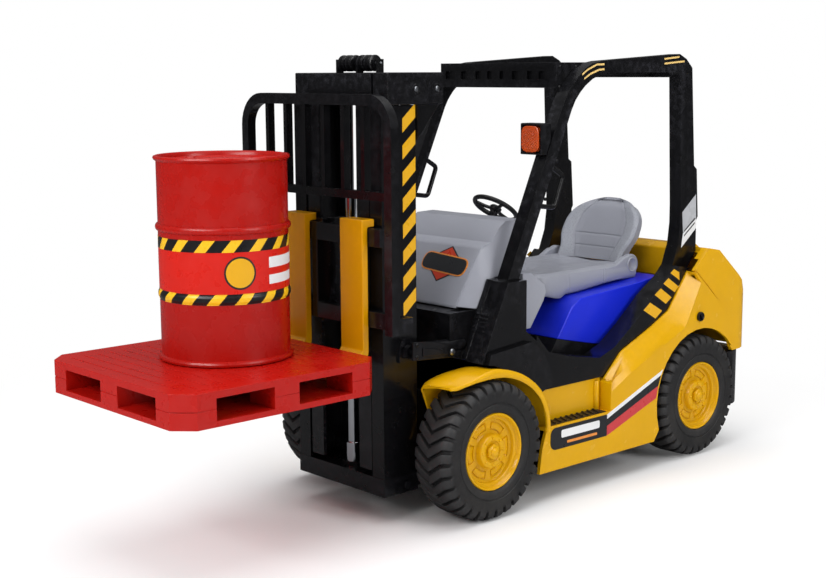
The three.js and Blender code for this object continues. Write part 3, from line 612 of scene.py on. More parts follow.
def rim_dish():
    """Stepped dish with six grooved kidney panels, a ring of bosses and a hexagon nut, facing up."""
    dish = turned("dish", RIM_PROFILE, 96)
    grooves = []
    for start in range(8, 368, 60):
        outer, inner = kidney(start, start + 44, 16.0, 22.6), kidney(start + 3, start + 41, 17.0, 21.6)
        grooves.append(band("groove", outer, inner, -9.3, -6.0, "z"))
    carve(dish, joined("grooves", grooves))
    soften(dish, 0.35, 2, 35)
    boss = [(0, -3.4), (1.05, -3.4), (1.05, -2.2), (0.7, -1.8), (0, -1.7)]
    extras = [turned("boss", boss, 16, (*spot, 0)) for spot in ring_of(8, 10.4)]
    extras.append(soften(extruded("nut", ring_of(6, 6.2), -3.9, -1.1, "z"), 0.5))
    dome = [(0, -1.3), (3.9, -1.3), (3.9, -0.6), (3.2, 0.3), (1.9, 0.9), (0, 1.1)]
    extras.append(soften(turned("dome", dome, 48), 0))
    return soften(joined("dish", [dish] + extras), 0, smooth=35)


def rim(name, dish, out, y, sign):
    """A copy of the dish, stood up at its wheel."""
    whole = link(name, dish.data.copy())
    stand = Matrix(((0, 0, sign), (0, 1, 0), (sign, 0, 0))).to_4x4()
    whole.data.transform(Matrix.Translation(mm(sign * out, y, WHEEL_Z)) @ stand)
    return whole


def build_wheels():
    """Tyre and rim at each corner: out is where the rim's outer face stands from the middle plane."""
    dish = rim_dish()
    for side, sign in SIDES:
        ends = (("front", 100.5, 0, "front_wheels"), ("rear", 96.0, REAR_Y, f"rear_{side}_wheel"))
        for end, out, y, body in ends:
            corner = f"{end}_{side}"
            tread = tyre(corner + "_tyre_skin", sign * (out - TYRE_HALF), y, sign)
            settle(tread, body, RUBBER, corner + "_tyre")
            settle(rim(corner + "_rim_skin", dish, out, y, sign), body, YELLOW, corner + "_rim")
    bpy.data.objects.remove(dish)


# ---- drum ----
DRUM = (-3.0, -172.0)
DRUM_R = 47.0
DRUM_WALL = DRUM_R - 0.8
DRUM_FOOT = low("drum").z
HOOPS = ((47.0, 0.9), (94.5, 1.9))
HOOP_HALF = 2.6
STRIPES_ROUND = 15
STRIPE_RISE = 0.85 / 19.7


def hoop_section(height, reach):
    """Rounded hoop round the drum wall as (radius, height) points."""
    turns = [math.pi * i / 6 for i in range(7)]
    return [(DRUM_WALL + reach * math.sin(a), height - HOOP_HALF * math.cos(a)) for a in turns]


def drum_profile():
    """Section of the thin-walled drum: foot ring, hoops, rolled rim and sunk lid, open underneath."""
    outer = [(DRUM_WALL - 1.6, 0.3), (DRUM_WALL + 1.0, 0.0), (DRUM_R + 1.2, 0.7), (DRUM_R + 1.4, 2.0),
             (DRUM_R + 0.8, 3.2), (DRUM_WALL, 4.0)]
    for hoop in HOOPS:
        outer += hoop_section(*hoop)
    outer += [(DRUM_WALL, 140.6), (DRUM_R + 0.6, 141.6), (DRUM_R + 1.3, 142.8), (DRUM_R + 0.9, 144.0),
              (DRUM_R - 0.4, 144.5), (DRUM_R - 1.8, 144.2), (DRUM_R - 2.6, 142.9), (DRUM_R - 2.9, 141.2),
              (DRUM_R - 4.2, 140.5), (20.0, 140.5), (19.0, 139.9), (0.0, 139.9)]
    inner = [(0.0, 138.0), (DRUM_WALL - 4.0, 138.0), (DRUM_WALL - 2.6, 136.5), (DRUM_WALL - 2.6, 0.4)]
    return outer + inner


def wall_radius(height):
    """Radius of the drum wall at a height above its foot, hoops included."""
    radius = DRUM_WALL
    for middle, reach in HOOPS:
        share = (height - middle) / HOOP_HALF
        if abs(share) < 1:
            radius += reach * math.sqrt(1 - share * share)
    return radius


def at_drum(radius, angle, height):
    """Point at a radius, a heading in radians and a height above the drum's foot."""
    return (DRUM[0] + radius * math.cos(angle), DRUM[1] + radius * math.sin(angle), DRUM_FOOT + height)


def wall_patch(name, heights, start, end, lift=0.04, thick=0.16):
    """Thin label that follows the drum wall between two headings in degrees."""
    steps = max(6, int((end - start) / 3))
    section = [(wall_radius(h) + lift, h) for h in heights]
    section += [(wall_radius(h) + lift + thick, h) for h in reversed(heights)]
    full = end - start >= 360
    angles = [math.radians(start + (end - start) * i / steps) for i in range(steps if full else steps + 1)]
    return ringed(name, [[at_drum(r, angle, h) for r, h in section] for angle in angles], loop=full)


def wall_disc(name, reach, heading, height, lift):
    """Round label of radius reach (mm), wrapped on to the drum wall at a heading in degrees."""
    thick, circles, steps = 0.1, 6, 48
    spreads = [max(k / circles, 0.01) * reach for k in range(circles + 1)]
    layers = [(spread, DRUM_WALL + lift + thick) for spread in spreads]
    layers += [(spread, DRUM_WALL + lift) for spread in reversed(spreads)]
    rings = []
    for spread, radius in layers:
        circle = arc(0, 0, spread, 0, 360 - 360 / steps, steps - 1)
        rings.append([at_drum(radius, math.radians(heading) + across / DRUM_R, height + up)
                      for across, up in circle])
    return ringed(name, rings)


def drum_stripes(name):
    """Slanted hazard stripes that run round the drum: the phase follows the heading and the height."""
    graph = Graph(f"drum_hazard_look_{name}")
    split = graph.node("ShaderNodeSeparateXYZ", {0: graph.place})
    dx = graph.calc("SUBTRACT", split.outputs["X"], DRUM[0] * MM)
    dy = graph.calc("SUBTRACT", split.outputs["Y"], DRUM[1] * MM + AXLE.y)
    round_way = graph.calc("MULTIPLY", graph.calc("ARCTAN2", dy, dx), STRIPES_ROUND / (2 * math.pi))
    rise = graph.calc("MULTIPLY", split.outputs["Z"], STRIPE_RISE / MM)
    phase = graph.calc("FRACT", graph.calc("ADD", graph.calc("SUBTRACT", round_way, rise), 50.0))
    ink = graph.remap(phase, 0.0, 1.0, 0.43, 0.44)
    blot = graph.noise(300, 3)
    light = graph.mix(blot, linear(236, 180, 20), linear(246, 198, 34))
    dark = graph.mix(blot, linear(14, 14, 16), linear(28, 27, 28))
    return moulded(graph, graph.mix(ink, light, dark), 0.3, 0.1, 0.0, linear(232, 178, 22))


def build_drum_labels():
    """Red label between two hazard bands, with a plain warning disc and bars in place of lettering."""
    hoop = [43.5 + 0.5 * i for i in range(16)]
    for name, heights in (("lower", hoop), ("upper", [80.0, 84.0, 88.3])):
        stripes = wall_patch(f"drum_hazard_band_{name}", heights, 0, 360)
        settle(soften(stripes, 0, smooth=30), "drum", drum_stripes(name), slot="yellow_plastic")
    settle(wall_patch("drum_label", [51.05, 79.95], 0, 360, 0.02, 0.1), "drum", RED_LABEL)
    for side, turn in (("front", 0), ("rear", 180)):
        for part, reach, lift, look in (("edge", 11.5, 0.1, DARK_LABEL), ("disc", 10.2, 0.18, YELLOW_PRINT)):
            settle(wall_disc(f"drum_sign_{part}_{side}", reach, turn - 21, 65.5, lift), "drum", look)
        for index, (end, foot, top) in enumerate(((60, 67.5, 75.0), (46, 56.0, 62.5))):
            bar = wall_patch(f"drum_bar_{side}_{index}", [foot, top], turn + 7, turn + end, 0.1)
            settle(bar, "drum", WHITE)


def build_drum():
    """Drum with two bungs in its lid."""
    shell = turned("drum_skin", drum_profile(), 128, (*DRUM, DRUM_FOOT))
    settle(soften(shell, 0, smooth=30), "drum", RED, "drum")
    bungs = []
    for x, y, radius in ((26, 12, 6.5), (-28, -8, 4.0)):
        cap = [(0, -0.8), (radius, -0.8), (radius, 0.8), (radius - 0.6, 1.4), (radius - 1.8, 1.5),
               (radius - 2.2, 0.9), (0, 0.9)]
        bungs.append(turned("bung", cap, 40, (DRUM[0] + x, DRUM[1] + y, DRUM_FOOT + 140.6)))
    settle(soften(joined("drum_bungs", bungs), 0), "drum", RED)
    build_drum_labels()


# ---- pallet ----
def cut_corner_plan(half, rear, front, corner):
    return [(half - corner, rear), (half, rear - corner), (half, front + corner), (half - corner, front),
            (corner - half, front), (-half, front + corner), (-half, rear - corner), (corner - half, rear)]


def build_pallet():
    """Pallet with shallow grooves across its deck and a seam round its edge."""
    lowest, highest = low("pallet"), high("pallet")
    half, rear, front, top = highest.x, highest.y, lowest.y, highest.z
    pitch, wide, deep = 10.35, 0.8, 0.55
    body = refined_copy("pallet")
    starts = [front + 12 + i * pitch for i in range(math.ceil((rear - front - 20) / pitch))]
    grooves = [extruded("groove", oblong(y, top - deep, y + wide, top + 1), -73.0, 73.0) for y in starts]
    carve(body, joined("grooves", grooves))
    around = cut_corner_plan(half + 2, rear + 2, front - 2, 13.6)
    within = cut_corner_plan(half - 0.4, rear - 0.4, front + 0.4, 12.9)
    carve(body, band("seam", around, within, 126.7, 127.3, "z"))
    settle(soften(body, 0.45, 2), "pallet", PALLET_RED, "pallet")


# ---- flat prints and small fixings ----
# Outer faces of the left-hand skirt, cab sill, cab post and mast.
SKIRT_X = 95.5
SILL_X = 85.0
POST_X = 79.0
MAST_X = 51.5
PRINT_THICK = 0.14
SCREW_HEADS = {}


def side_print(name, outline, x, look, thick=PRINT_THICK, body="chassis", slot=None):
    """Thin printed plate lying on an upright face, and its mirror copy on the right-hand side."""
    for side, sign in SIDES:
        plate = extruded(f"{side}_{name}", outline, sign * (x - 0.02), sign * (x + thick))
        settle(plate, body, look, slot=slot)


def screw_head(radius):
    """Pan head with a cross recess, made once for each size."""
    if radius not in SCREW_HEADS:
        pan = [(0, -0.6), (radius, -0.6), (radius, 0.35), (radius * 0.8, 0.75), (radius * 0.4, 0.95),
               (0, 1.0)]
        head = turned("head", pan, 32)
        a, b = radius * 0.62, radius * 0.17
        cross = [(-a, -b), (-b, -b), (-b, -a), (b, -a), (b, -b), (a, -b), (a, b), (b, b), (b, a), (-b, a),
                 (-b, b), (-a, b)]
        carve(head, extruded("cross", cross, 0.35, 2, "z"))
        SCREW_HEADS[radius] = soften(head, 0, smooth=30).data
        bpy.data.objects.remove(head)
    return SCREW_HEADS[radius]


def screw(name, x, y, z, sign, radius, body="chassis", look=SATIN_BLACK):
    """Screw whose head lies on a side face at x, y, z and points outwards."""
    head = link(name, screw_head(radius).copy())
    head.data.transform(outward(x, y, z, sign))
    settle(head, body, look)


def build_side_prints():
    """Name plate without lettering, stripes of the side panels, and hazard bars on the cab sills."""
    plate = [(136.4, 41.0), (136.4, 59.0)]
    plate += arc(73.5, 53.0, 6.0, 90, 180, 6) + arc(73.5, 47.0, 6.0, 180, 270, 6)
    side_print("step_plate", plate, SKIRT_X, DARK_LABEL, 0.4)
    side_print("step_plate_bar", rounded(oblong(80, 49.6, 127, 56.0), 1.5), SKIRT_X + 0.4, WHITE, 0.1)
    side_print("step_plate_line", rounded(oblong(87, 44.2, 124, 46.4), 0.8), SKIRT_X + 0.4, ORANGE_PRINT, 0.1)
    edges = [[(136.9, 41.0), (201.6, 62.2)], [(136.9, 49.2), (204.4, 72.7)], [(136.9, 55.2), (207.9, 81.4)],
             [(136.9, 58.9), (210.8, 86.0)]]
    stripes = (("red", RED_STRIPE, "red_plastic"), ("black", DARK_LABEL, "black_plastic"),
               ("white", WHITE, "yellow_plastic"))
    for (colour, look, slot), lower, upper in zip(stripes, edges, edges[1:]):
        side_print(f"stripe_{colour}", lower + upper[::-1], SKIRT_X, look, slot=slot)
    bars = [[(195.5, 138.1), (204.3, 143.7), (221.0, 134.6), (212.0, 128.9)],
            [(210.4, 149.6), (218.7, 154.4), (234.0, 144.9), (226.0, 140.2)],
            [(222.1, 158.1), (229.1, 162.2), (243.6, 153.4), (238.2, 148.9)],
            [(231.8, 166.4), (236.7, 169.4), (244.0, 166.0), (244.6, 158.9)]]
    for index, bar in enumerate(bars):
        side_print(f"hazard_bar_{index}", bar, SILL_X, YELLOW_PRINT)


def build_cab_prints():
    """Plain patches and stripes on the outer faces of the cab frame."""
    silver = [(254.5, 217.2), (273.6, 231.8), (274.5, 210.7), (256.1, 199.0)]
    white = [(256.1, 198.5), (274.5, 210.2), (274.9, 201.9), (253.9, 186.0)]
    side_print("post_patch_silver", silver, POST_X, SILVER)
    side_print("post_patch_white", white, POST_X, WHITE)
    for index, lift in enumerate((0.0, 3.9)):
        mark = [(y, z + lift) for y, z in ((257.5, 197.0), (272.6, 207.4), (272.7, 205.9), (257.6, 195.5))]
        side_print(f"post_mark_{index}", mark, POST_X + PRINT_THICK, DARK_LABEL, 0.06)
    lines = [[(119.3, 337.2), (125.9, 341.1), (137.2, 345.1), (146.3, 345.3)],
             [(121.8, 333.9), (129.4, 337.8), (139.6, 340.9), (146.4, 341.4)],
             [(224.6, 349.6), (245.0, 351.3)], [(224.8, 345.7), (252.3, 347.6)]]
    half = 0.75
    for index, line in enumerate(lines):
        outline = [(y, z + half) for y, z in line] + [(y, z - half) for y, z in reversed(line)]
        side_print(f"roof_stripe_{index}", outline, POST_X, GOLD_PRINT)


def build_step_treads():
    """Black tread plate on each step: arrow-shaped ribs across a thin plate."""
    for side, sign in SIDES:
        pieces = [soften(extruded("plate", oblong(66, 66, 94.3, 137), 60.95, 61.7, "z"), 0.25, 1)]
        for i in range(10):
            y = 68.5 + i * 6.6
            rib = [(67.5, y), (80, y + 5.2), (92.8, y), (92.8, y + 2.1), (80, y + 7.3), (67.5, y + 2.1)]
            pieces.append(soften(extruded("rib", rib, 61.6, 62.7, "z"), 0.3, 1))
        tread = joined(f"{side}_step_tread", pieces)
        if sign < 0:
            mirrored(tread)
        settle(soften(tread, 0), "chassis", SATIN_BLACK)


def build_mast_prints():
    """Hazard tape down both outer faces of the mast as slanted bars, and the sunk screws of its head."""
    pitch, tall, slant = 19.65, 10.4, 11.0
    front, rear = -49.0, -36.2
    for index in range(8):
        z = 158.5 + index * pitch
        outline = [(front, z), (rear, z + slant), (rear, z + slant + tall), (front, z + tall)]
        side_print(f"mast_bar_{index}", outline, MAST_X, YELLOW_PRINT, body="mast")
    collar = [(2.2, -0.5), (3.9, -0.5), (3.9, 0.15), (3.4, 0.5), (2.6, 0.5), (2.2, 0.1)]
    for side, sign in SIDES:
        for end, y in (("front", -37.6), ("rear", -16.4)):
            ring = turned(f"cap_recess_{side}_{end}", collar, 40)
            ring.data.transform(outward(sign * 54.5, y, 328, sign))
            settle(soften(ring, 0, smooth=30), "mast", BLACK)
            screw(f"cap_screw_{side}_{end}", sign * 54.3, y, 328, sign, 2.1, "mast", STEEL)


# ---- seat ----
BACK_FOOT = 171.8
BACK_TALL = 53.5


def smoothstep(edge0, edge1, value):
    t = max(0.0, min(1.0, (value - edge0) / (edge1 - edge0)))
    return t * t * (3 - 2 * t)


def notch(value, middle, half):
    """1 on a groove line, falling to 0 at half from it."""
    return max(0.0, 1 - abs(value - middle) / half)


def back_outline(v):
    """Half width of the seat back at height share v: waist, shoulders, rounded top."""
    flare = 37.0 + 5.5 * smoothstep(0.12, 0.45, v)
    crown = max(0.0, (v - 0.52) / 0.48)
    return flare * math.sqrt(max(0.0, 1 - 0.9 * crown ** 2.4))


def back_lean(v):
    return 227.0 + 25.0 * v


def seam_line(v):
    """Where the bolster seam runs, as a share of the half width."""
    return 0.56 + 0.1 * math.sin(math.pi * min(1.0, v * 1.15))


def back_front(u, v):
    """Front face: wings that come forward, a dished panel, a seam and two sewn lines."""
    wing = 8.5 * smoothstep(0.45, 1.0, abs(u)) * (1 - 0.6 * v)
    panel = 1.2 * (1 - abs(u)) - 1.6 * smoothstep(0.8, 1.0, v)
    groove = notch(abs(u), seam_line(v), 0.028)
    if abs(u) < seam_line(v):
        for level in (0.2, 0.4):
            groove = max(groove, 0.7 * notch(v, level, 0.014))
    round_top = 3.0 * smoothstep(0.86, 1.0, v)
    round_side = 2.6 * smoothstep(0.9, 1.0, abs(u)) ** 2
    y = back_lean(v) - wing - panel + groove + round_top + round_side
    z = BACK_FOOT + BACK_TALL * v - 1.5 * abs(u) ** 3 * v
    return (back_outline(v) * u, y, z)


def back_rear(u, v):
    half = back_outline(v) * (0.99 - 0.02 * v)
    depth = 12.5 - 4.0 * v - 2.5 * smoothstep(0.7, 1.0, abs(u)) - 3.0 * smoothstep(0.86, 1.0, v)
    wing = 6.0 * smoothstep(0.5, 1.0, abs(u)) * (1 - 0.6 * v)
    return (half * u, back_lean(v) - wing + depth, back_front(u, v)[2] - 0.6)


def build_seat_back():
    """Seat back as one closed form, with speckled bolsters outside its seams."""
    rings = []
    for v in [i / 60 for i in range(61)]:
        front = [back_front(-1 + 2 * k / 90, v) for k in range(91)]
        rear = [back_rear(1 - 2 * k / 30, v) for k in range(31)]
        rings.append(front + rear)
    back = soften(ringed("seat_back_skin", rings), 0, smooth=50)
    settle(back, "chassis", GREY, "seat_back")
    back.data.materials.append(SPECKLE)
    for face in back.data.polygons:
        spot = face.center / MM
        v = (spot.z - BACK_FOOT) / BACK_TALL
        u = abs(spot.x) / max(back_outline(min(max(v, 0), 1)), 1)
        if seam_line(v) + 0.03 < u < 0.97 and 0.05 < v < 0.86 and face.normal.y < 0.3:
            face.material_index = 1


def cushion_half(y):
    """Half width of the cushion: rounded front corners, straight sides."""
    front = max(0.0, (122.0 - y) / 24.0)
    return 46.0 * math.sqrt(max(0.04, 1 - 0.75 * min(front, 1.0) ** 2.6))


def cushion_top(x, y):
    u = abs(x) / cushion_half(y)
    z = 171.6 + 1.2 * smoothstep(0.55, 0.85, u) - 2.0 * smoothstep(0.9, 1.0, u)
    z -= 3.2 * smoothstep(112, 99, y) + 0.8 * notch(abs(x), 24 - (y - 150) * 0.02, 1.1)
    return z - 1.4 * (1 - smoothstep(0.0, 0.6, u)) * smoothstep(110, 140, y)


def cushion_ring(y):
    """Section of the cushion across the truck: crowned top, grooved rolled sides, flat floor."""
    half = cushion_half(y)
    floor_z = 154.8 - 4.0 * smoothstep(110, 134, y) + 2.6 * smoothstep(134, 142, y)
    floor_z += 5.0 * smoothstep(142, 214, y) + 7.5 * smoothstep(112, 99, y)
    spots = [half * (-1 + 2 * k / 60) for k in range(61)]
    top = [(x, y, cushion_top(x, y)) for x in spots]
    groove = 0.7 * max(notch(y, 143, 0.9), notch(y, 187.6, 0.8), notch(y, 190.6, 0.8))
    crest = top[-1][2]
    shape = ((0.6, 0.12), (1.1, 0.35), (1.2, 0.65), (0.2, 0.9), (-1.6, 1.0))
    right = [(half + out - groove, y, crest + (floor_z - crest) * share) for out, share in shape]
    left = [(-x, y, z) for x, y, z in reversed(right)]
    return top + right + left


def build_seat_cushion():
    """Cushion with a short arm and hinge disc on each side."""
    rings = [cushion_ring(98.6 + 0.9 * i) for i in range(149)]
    settle(soften(ringed("seat_cushion_skin", rings), 0, smooth=45), "chassis", GREY, "seat_cushion")
    arm = [(190.5, 163), (190.5, 170.8), (206, 172.4), (217, 178.0)]
    arm += arc(226.3, 170.6, 9.3, 128, -60, 12) + [(224, 160.5), (200, 158.5)]
    button = [(0, 0), (6.6, 0), (6.6, 0.6), (6.0, 1.2), (5.2, 1.0), (5.0, 0.5), (0, 0.7)]
    for side, sign in SIDES:
        piece = soften(extruded("arm", arm, sign * 40.4, sign * 46.6), 1.3, 3)
        disc = turned("disc", button, 48)
        disc.data.transform(outward(sign * 46.5, 226.3, 170.6, sign))
        settle(soften(joined(f"{side}_seat_arm", [piece, disc]), 0, smooth=32), "chassis", GREY)


# ---- hood ----
def build_hood_badge():
    """Plain badge on the sloping nose: a dark rounded plate over an orange lozenge, without lettering."""
    foot, top = Vector((0, 5.0, 161.0)), Vector((0, 31.0, 202.0))
    up = (top - foot).normalized()
    slope = Matrix(((1, 0, 0), (0, up.y, -up.z), (0, up.z, up.y))).to_4x4()
    middle = Vector((21.0, 0, 0)) + foot.lerp(top, 0.68)
    place = Matrix.Translation(middle * MM) @ slope @ Matrix.Rotation(math.radians(-4), 4, "Z")
    layers = [("badge_lozenge_edge", [(-24, 0), (0, 16.0), (24, 0), (0, -16.0)], 0.16, DARK_LABEL),
              ("badge_lozenge", [(-22, 0), (0, 14.6), (22, 0), (0, -14.6)], 0.3, ORANGE_RED),
              ("badge_rim", rounded(oblong(-26, -8.0, 26, 8.0), 7.8), 0.44, ORANGE_PRINT),
              ("badge_plate", rounded(oblong(-24.9, -6.9, 24.9, 6.9), 6.6), 0.6, DARK_LABEL)]
    for name, outline, thick, look in layers:
        plate = extruded(name, outline, -0.3, thick, "z")
        plate.data.transform(place)
        settle(plate, "chassis", look)


def build_hood():
    settle(soften(refined_copy("hood"), 2.6, 4), "chassis", GREY, "hood")
    build_hood_badge()


# ---- hose and link plates ----
def build_hose():
    path = [(-36, 60, 198), (-35.5, 71, 207), (-35, 82, 209), (-34.5, 92, 205.5)]
    settle(soften(swept("mast_hose", path, 1.5, 4.0), 0), "chassis", SATIN_BLACK)


def build_tilt_links():
    """Link plate with a raised rib, two screws and a pin beside each tilt rod."""
    outline = rounded([(-51.5, 126.8), (-8, 123.6), (-6.5, 131), (-11, 134), (-34, 139.6), (-51.5, 141)], 1.5)
    rib = rounded([(-42, 129), (-16, 127), (-16, 130.5), (-42, 136)], 1.2)
    for side, sign in SIDES:
        body = f"{side}_tilt_rod"
        plate = soften(extruded("plate", outline, sign * 62.6, sign * 64.6), 0.5, 2)
        raised = soften(extruded("rib", rib, sign * 64.4, sign * 65.4), 0.4, 2)
        settle(joined(f"{side}_tilt_link", [plate, raised]), body, BLACK)
        for index, (y, z) in enumerate(((-47.5, 138.2), (-47.6, 129.2))):
            screw(f"{side}_link_screw_{index}", sign * 64.5, y, z, sign, 1.5, body)
        screw(f"{side}_link_pin", sign * 64.7, -11, 128.3, sign, 2.6, body, STEEL)


# ---- steering wheel ----
def build_steering_wheel():
    """Ring, three spokes and hub, drawn lying flat and then tipped back on the column."""
    reach, thick, tip = 19, 2.0, 0.61
    ring = []
    for i in range(96):
        a = 2 * math.pi * i / 96
        section = arc(reach, 0, thick, 0, 337.5, 15)
        ring.append([(out * math.cos(a), out * math.sin(a), up) for out, up in section])
    pieces = [ringed("ring", ring, loop=True)]
    for degrees in (90, 210, 330):
        x, y = math.cos(math.radians(degrees)), math.sin(math.radians(degrees))
        spoke = [(0, 0, -0.6), (9 * x, 9 * y, -1.0), (18.6 * x, 18.6 * y, 0)]
        pieces.append(swept("spoke", spoke, 1.5, 2.0, 12))
    hub = [(0, -2.8), (4.2, -2.8), (5.2, -1.4), (5.2, 0.8), (4.2, 1.8), (2.2, 2.3), (0, 2.4)]
    pieces.append(turned("hub", hub, 48))
    wheel = joined("steering_wheel_skin", pieces)
    wheel.data.transform(Matrix.Translation(mm(0, 102, 226)) @ Matrix.Rotation(-tip, 4, "X"))
    settle(soften(wheel, 0, smooth=40), "steering_wheel", SATIN_BLACK, "steering_wheel")


# ---- cab details ----
def build_handles():
    for side, sign in SIDES:
        points = [(sign * 74, y, z) for y, z in ((88, 266), (103, 257.5), (92.5, 232.5), (74.2, 235))]
        handle = swept(f"{side}_handle_skin", points, 2.0, 3.4, 20)
        settle(soften(handle, 0), "chassis", BLACK, f"{side}_handle")


def prism_stud(x, z, face, reach):
    """Small four-sided pyramid standing on its corner on the lens face."""
    bm = bmesh.new()
    corners = ((-1, 0), (0, -1), (1, 0), (0, 1))
    base = [bm.verts.new(mm(x + a * reach, face + 0.05, z + b * reach)) for a, b in corners]
    tip = bm.verts.new(mm(x, face - 0.7, z))
    bm.faces.new(base)
    for i in range(4):
        bm.faces.new((base[i], base[(i + 1) % 4], tip))
    return finish_mesh(bm, "stud")


def build_lamp():
    """Lens with rounded corners: a rim round a lattice of small pyramids set on the slant."""
    lowest, highest = low("lamp_lens"), high("lamp_lens")
    centre, half = (lowest + highest) / 2, (highest - lowest) / 2
    face = lowest.y + 0.7
    outline = rounded(oblong(lowest.x, lowest.z, highest.x, highest.z), 6.0)
    pieces = [soften(extruded("slab", outline, face, highest.y, "y"), 0.4, 2)]
    pitch, margin = 2.5, 1.6
    for i in range(-8, 9):
        for j in range(-8, 9):
            x, z = (i + j) * pitch / 2, (i - j) * pitch / 2
            room = (half.x - abs(x) - margin, half.z - abs(z) - margin)
            if min(room) > 0 and sum(room) > 3.0:
                pieces.append(prism_stud(centre.x + x, centre.z + z, face, pitch * 0.48))
    settle(soften(joined("lamp_lens_skin", pieces), 0, smooth=15), "chassis", LENS, "lamp_lens")
    middle = Vector((centre.x, centre.z))
    within = [Vector(point) - (Vector(point) - middle).normalized() * 1.3 for point in outline]
    front = low("lamp_housing").y
    rim = band("lamp_rim", outline, within, front - 0.6, front + 1.0, "y")
    settle(soften(rim, 0.3, 2), "chassis", BLACK)


def build_fuel_cap():
    """Cap with a grip bar inside a hexagonal yellow ring."""
    y, z = 261, 126
    profile = [(0, -0.3), (4.2, -0.3), (4.2, 1.6), (3.7, 2.2), (3.1, 2.2), (2.8, 1.6), (0, 1.6)]
    grip = soften(extruded("grip", oblong(-2.6, -0.6, 2.6, 0.6), 1.4, 2.6, "z"), 0.25)
    cap = joined("fuel_cap_skin", [turned("cap", profile, 48), grip])
    cap.data.transform(outward(SKIRT_X + 0.4, y, z) @ Matrix.Rotation(math.radians(35), 4, "Z"))
    settle(soften(cap, 0, smooth=30), "chassis", BLACK, "fuel_cap")
    ring = turned("fuel_cap_ring", [(7.6, -0.8), (10.4, -0.8), (10.0, 0.5), (9.2, 0.9), (8.2, 0.4)], 6)
    ring.data.transform(outward(SKIRT_X - 1.5, y, z))
    settle(soften(ring, 0.3), "chassis", YELLOW)


def build_rear_body():
    """Tail body with the seam line that runs from the foot of the rear post to the wheel arch."""
    line = [(255, 168.2), (276, 150.4), (293, 134.6), (299.0, 124.0), (302.0, 108.4)]
    half = 0.35
    outline = [(y - half, z) for y, z in line] + [(y + half, z + 0.2) for y, z in reversed(line)]
    seams = [extruded("seam", outline, sign * 92.7, sign * 96) for _, sign in SIDES]
    body = carve(refined_copy("rear_body"), joined("seams", seams))
    settle(soften(body, 0.6), "chassis", YELLOW, "rear_body")


def build_pulleys():
    """Each pulley is a bored hub with two grooved sheaves side by side."""
    sheave = [(5.2, 0), (6.2, 0.4), (6.2, 1.6), (4.6, 2.6), (4.3, 3.8), (4.6, 5.0), (6.2, 6.0), (6.2, 7.2),
              (5.2, 7.6)]
    bore = 1.4
    profile = [(bore, -8.0)]
    for start in (-8.0, 0.4):
        profile += [(radius, start + along) for radius, along in sheave]
    profile.append((bore, 8.0))
    for side, sign in SIDES:
        wheel = turned(f"{side}_pulley_skin", profile, 64)
        wheel.data.transform(outward(sign * 11, -46, 347))
        settle(soften(wheel, 0, smooth=30), "pulleys", BLACK, f"{side}_pulley")


# ---- side panels: sculpted fender, chamfered shoulder ----
# Stations along the fender: foot and head of the outer lip, crown, inner edge, each as (y, z).
FENDER = [
    ((-43.3, 107.8), (-43.6, 110.2), (-46.5, 110.0), (-37.5, 100.5)),
    ((-36.5, 107.1), (-36.5, 110.3), (-39.0, 112.6), (-34.0, 106.0)),
    ((-26.6, 108.4), (-26.6, 111.6), (-28.0, 114.6), (-25.0, 108.8)),
    ((-19.0, 109.3), (-19.0, 113.0), (-19.0, 115.8), (-19.0, 110.0)),
    ((-11.5, 110.0), (-11.5, 114.6), (-9.0, 116.2), (-8.9, 111.2)),
    ((-3.5, 110.3), (-3.5, 116.2), (0.0, 116.4), (1.0, 111.8)),
    ((3.9, 110.2), (3.9, 117.2), (5.0, 116.2), (6.0, 111.6)),
    ((14.4, 109.3), (14.3, 115.6), (14.4, 114.4), (16.0, 109.2)),
    ((25.0, 106.5), (25.5, 112.4), (25.0, 110.2), (26.0, 105.8)),
    ((35.7, 101.8), (37.6, 107.2), (36.0, 105.2), (35.0, 101.6)),
    ((46.7, 94.4), (50.3, 98.2), (48.0, 95.9), (46.0, 94.0)),
    ((55.6, 84.5), (59.5, 87.0), (57.6, 85.0), (56.0, 83.6)),
    ((61.4, 71.0), (65.2, 72.2), (63.6, 71.0), (62.0, 70.0)),
    ((62.6, 57.6), (66.4, 58.0), (65.0, 57.8), (63.0, 57.6)),
]
FENDER_WALL = [(-36.0, 100.5), (-29.8, 83.6), (-31.3, 76.4), (-37.4, 61.7), (-38.0, 60.2), (-12.0, 60.2),
               (34.0, 98.0), (26.0, 104.0), (16.0, 107.4), (1.0, 110.0), (-19.0, 108.4), (-34.0, 104.6)]
# The plain fender of the frame, which the sculpted one takes the place of.
PLAIN_FENDER = [(-69, 108), (-69, 118.5), (-63.5, 122.5), (-35, 125.5), (9.5, 119), (44, 105), (58.5, 92.5),
                (66.4, 73.2), (68, 61.4), (60, 61.4), (59.5, 71.5), (53, 88.5), (40.8, 99.7), (8, 113.2),
                (-35, 119.6), (-61.2, 117), (-63, 114.5), (-63, 108)]
# The shoulder runs at SHOULDER_X, and the crease below it on the skirt.
SHOULDER = [(143.2, 87.4), (165.0, 106.4), (205.0, 122.6), (228.0, 133.6), (253.0, 164.6)]
CHINE = [(142.6, 77.4), (167.8, 89.8), (202.6, 103.3), (240.5, 118.5), (262.0, 156.0)]
SHOULDER_X = 86.8


def spline(points, steps):
    """Smooth curve through points, with steps points per stretch."""
    padded = [points[0]] + list(points) + [points[-1]]
    result = []
    for a, b, c, d in zip(padded, padded[1:], padded[2:], padded[3:]):
        for t in [k / steps for k in range(steps)]:
            result.append(tuple(0.5 * (2 * q + (r - p) * t + (2 * p - 5 * q + 4 * r - w) * t * t
                                       + (3 * q - p - 3 * r + w) * t ** 3) for p, q, r, w in zip(a, b, c, d)))
    return result + [points[-1]]


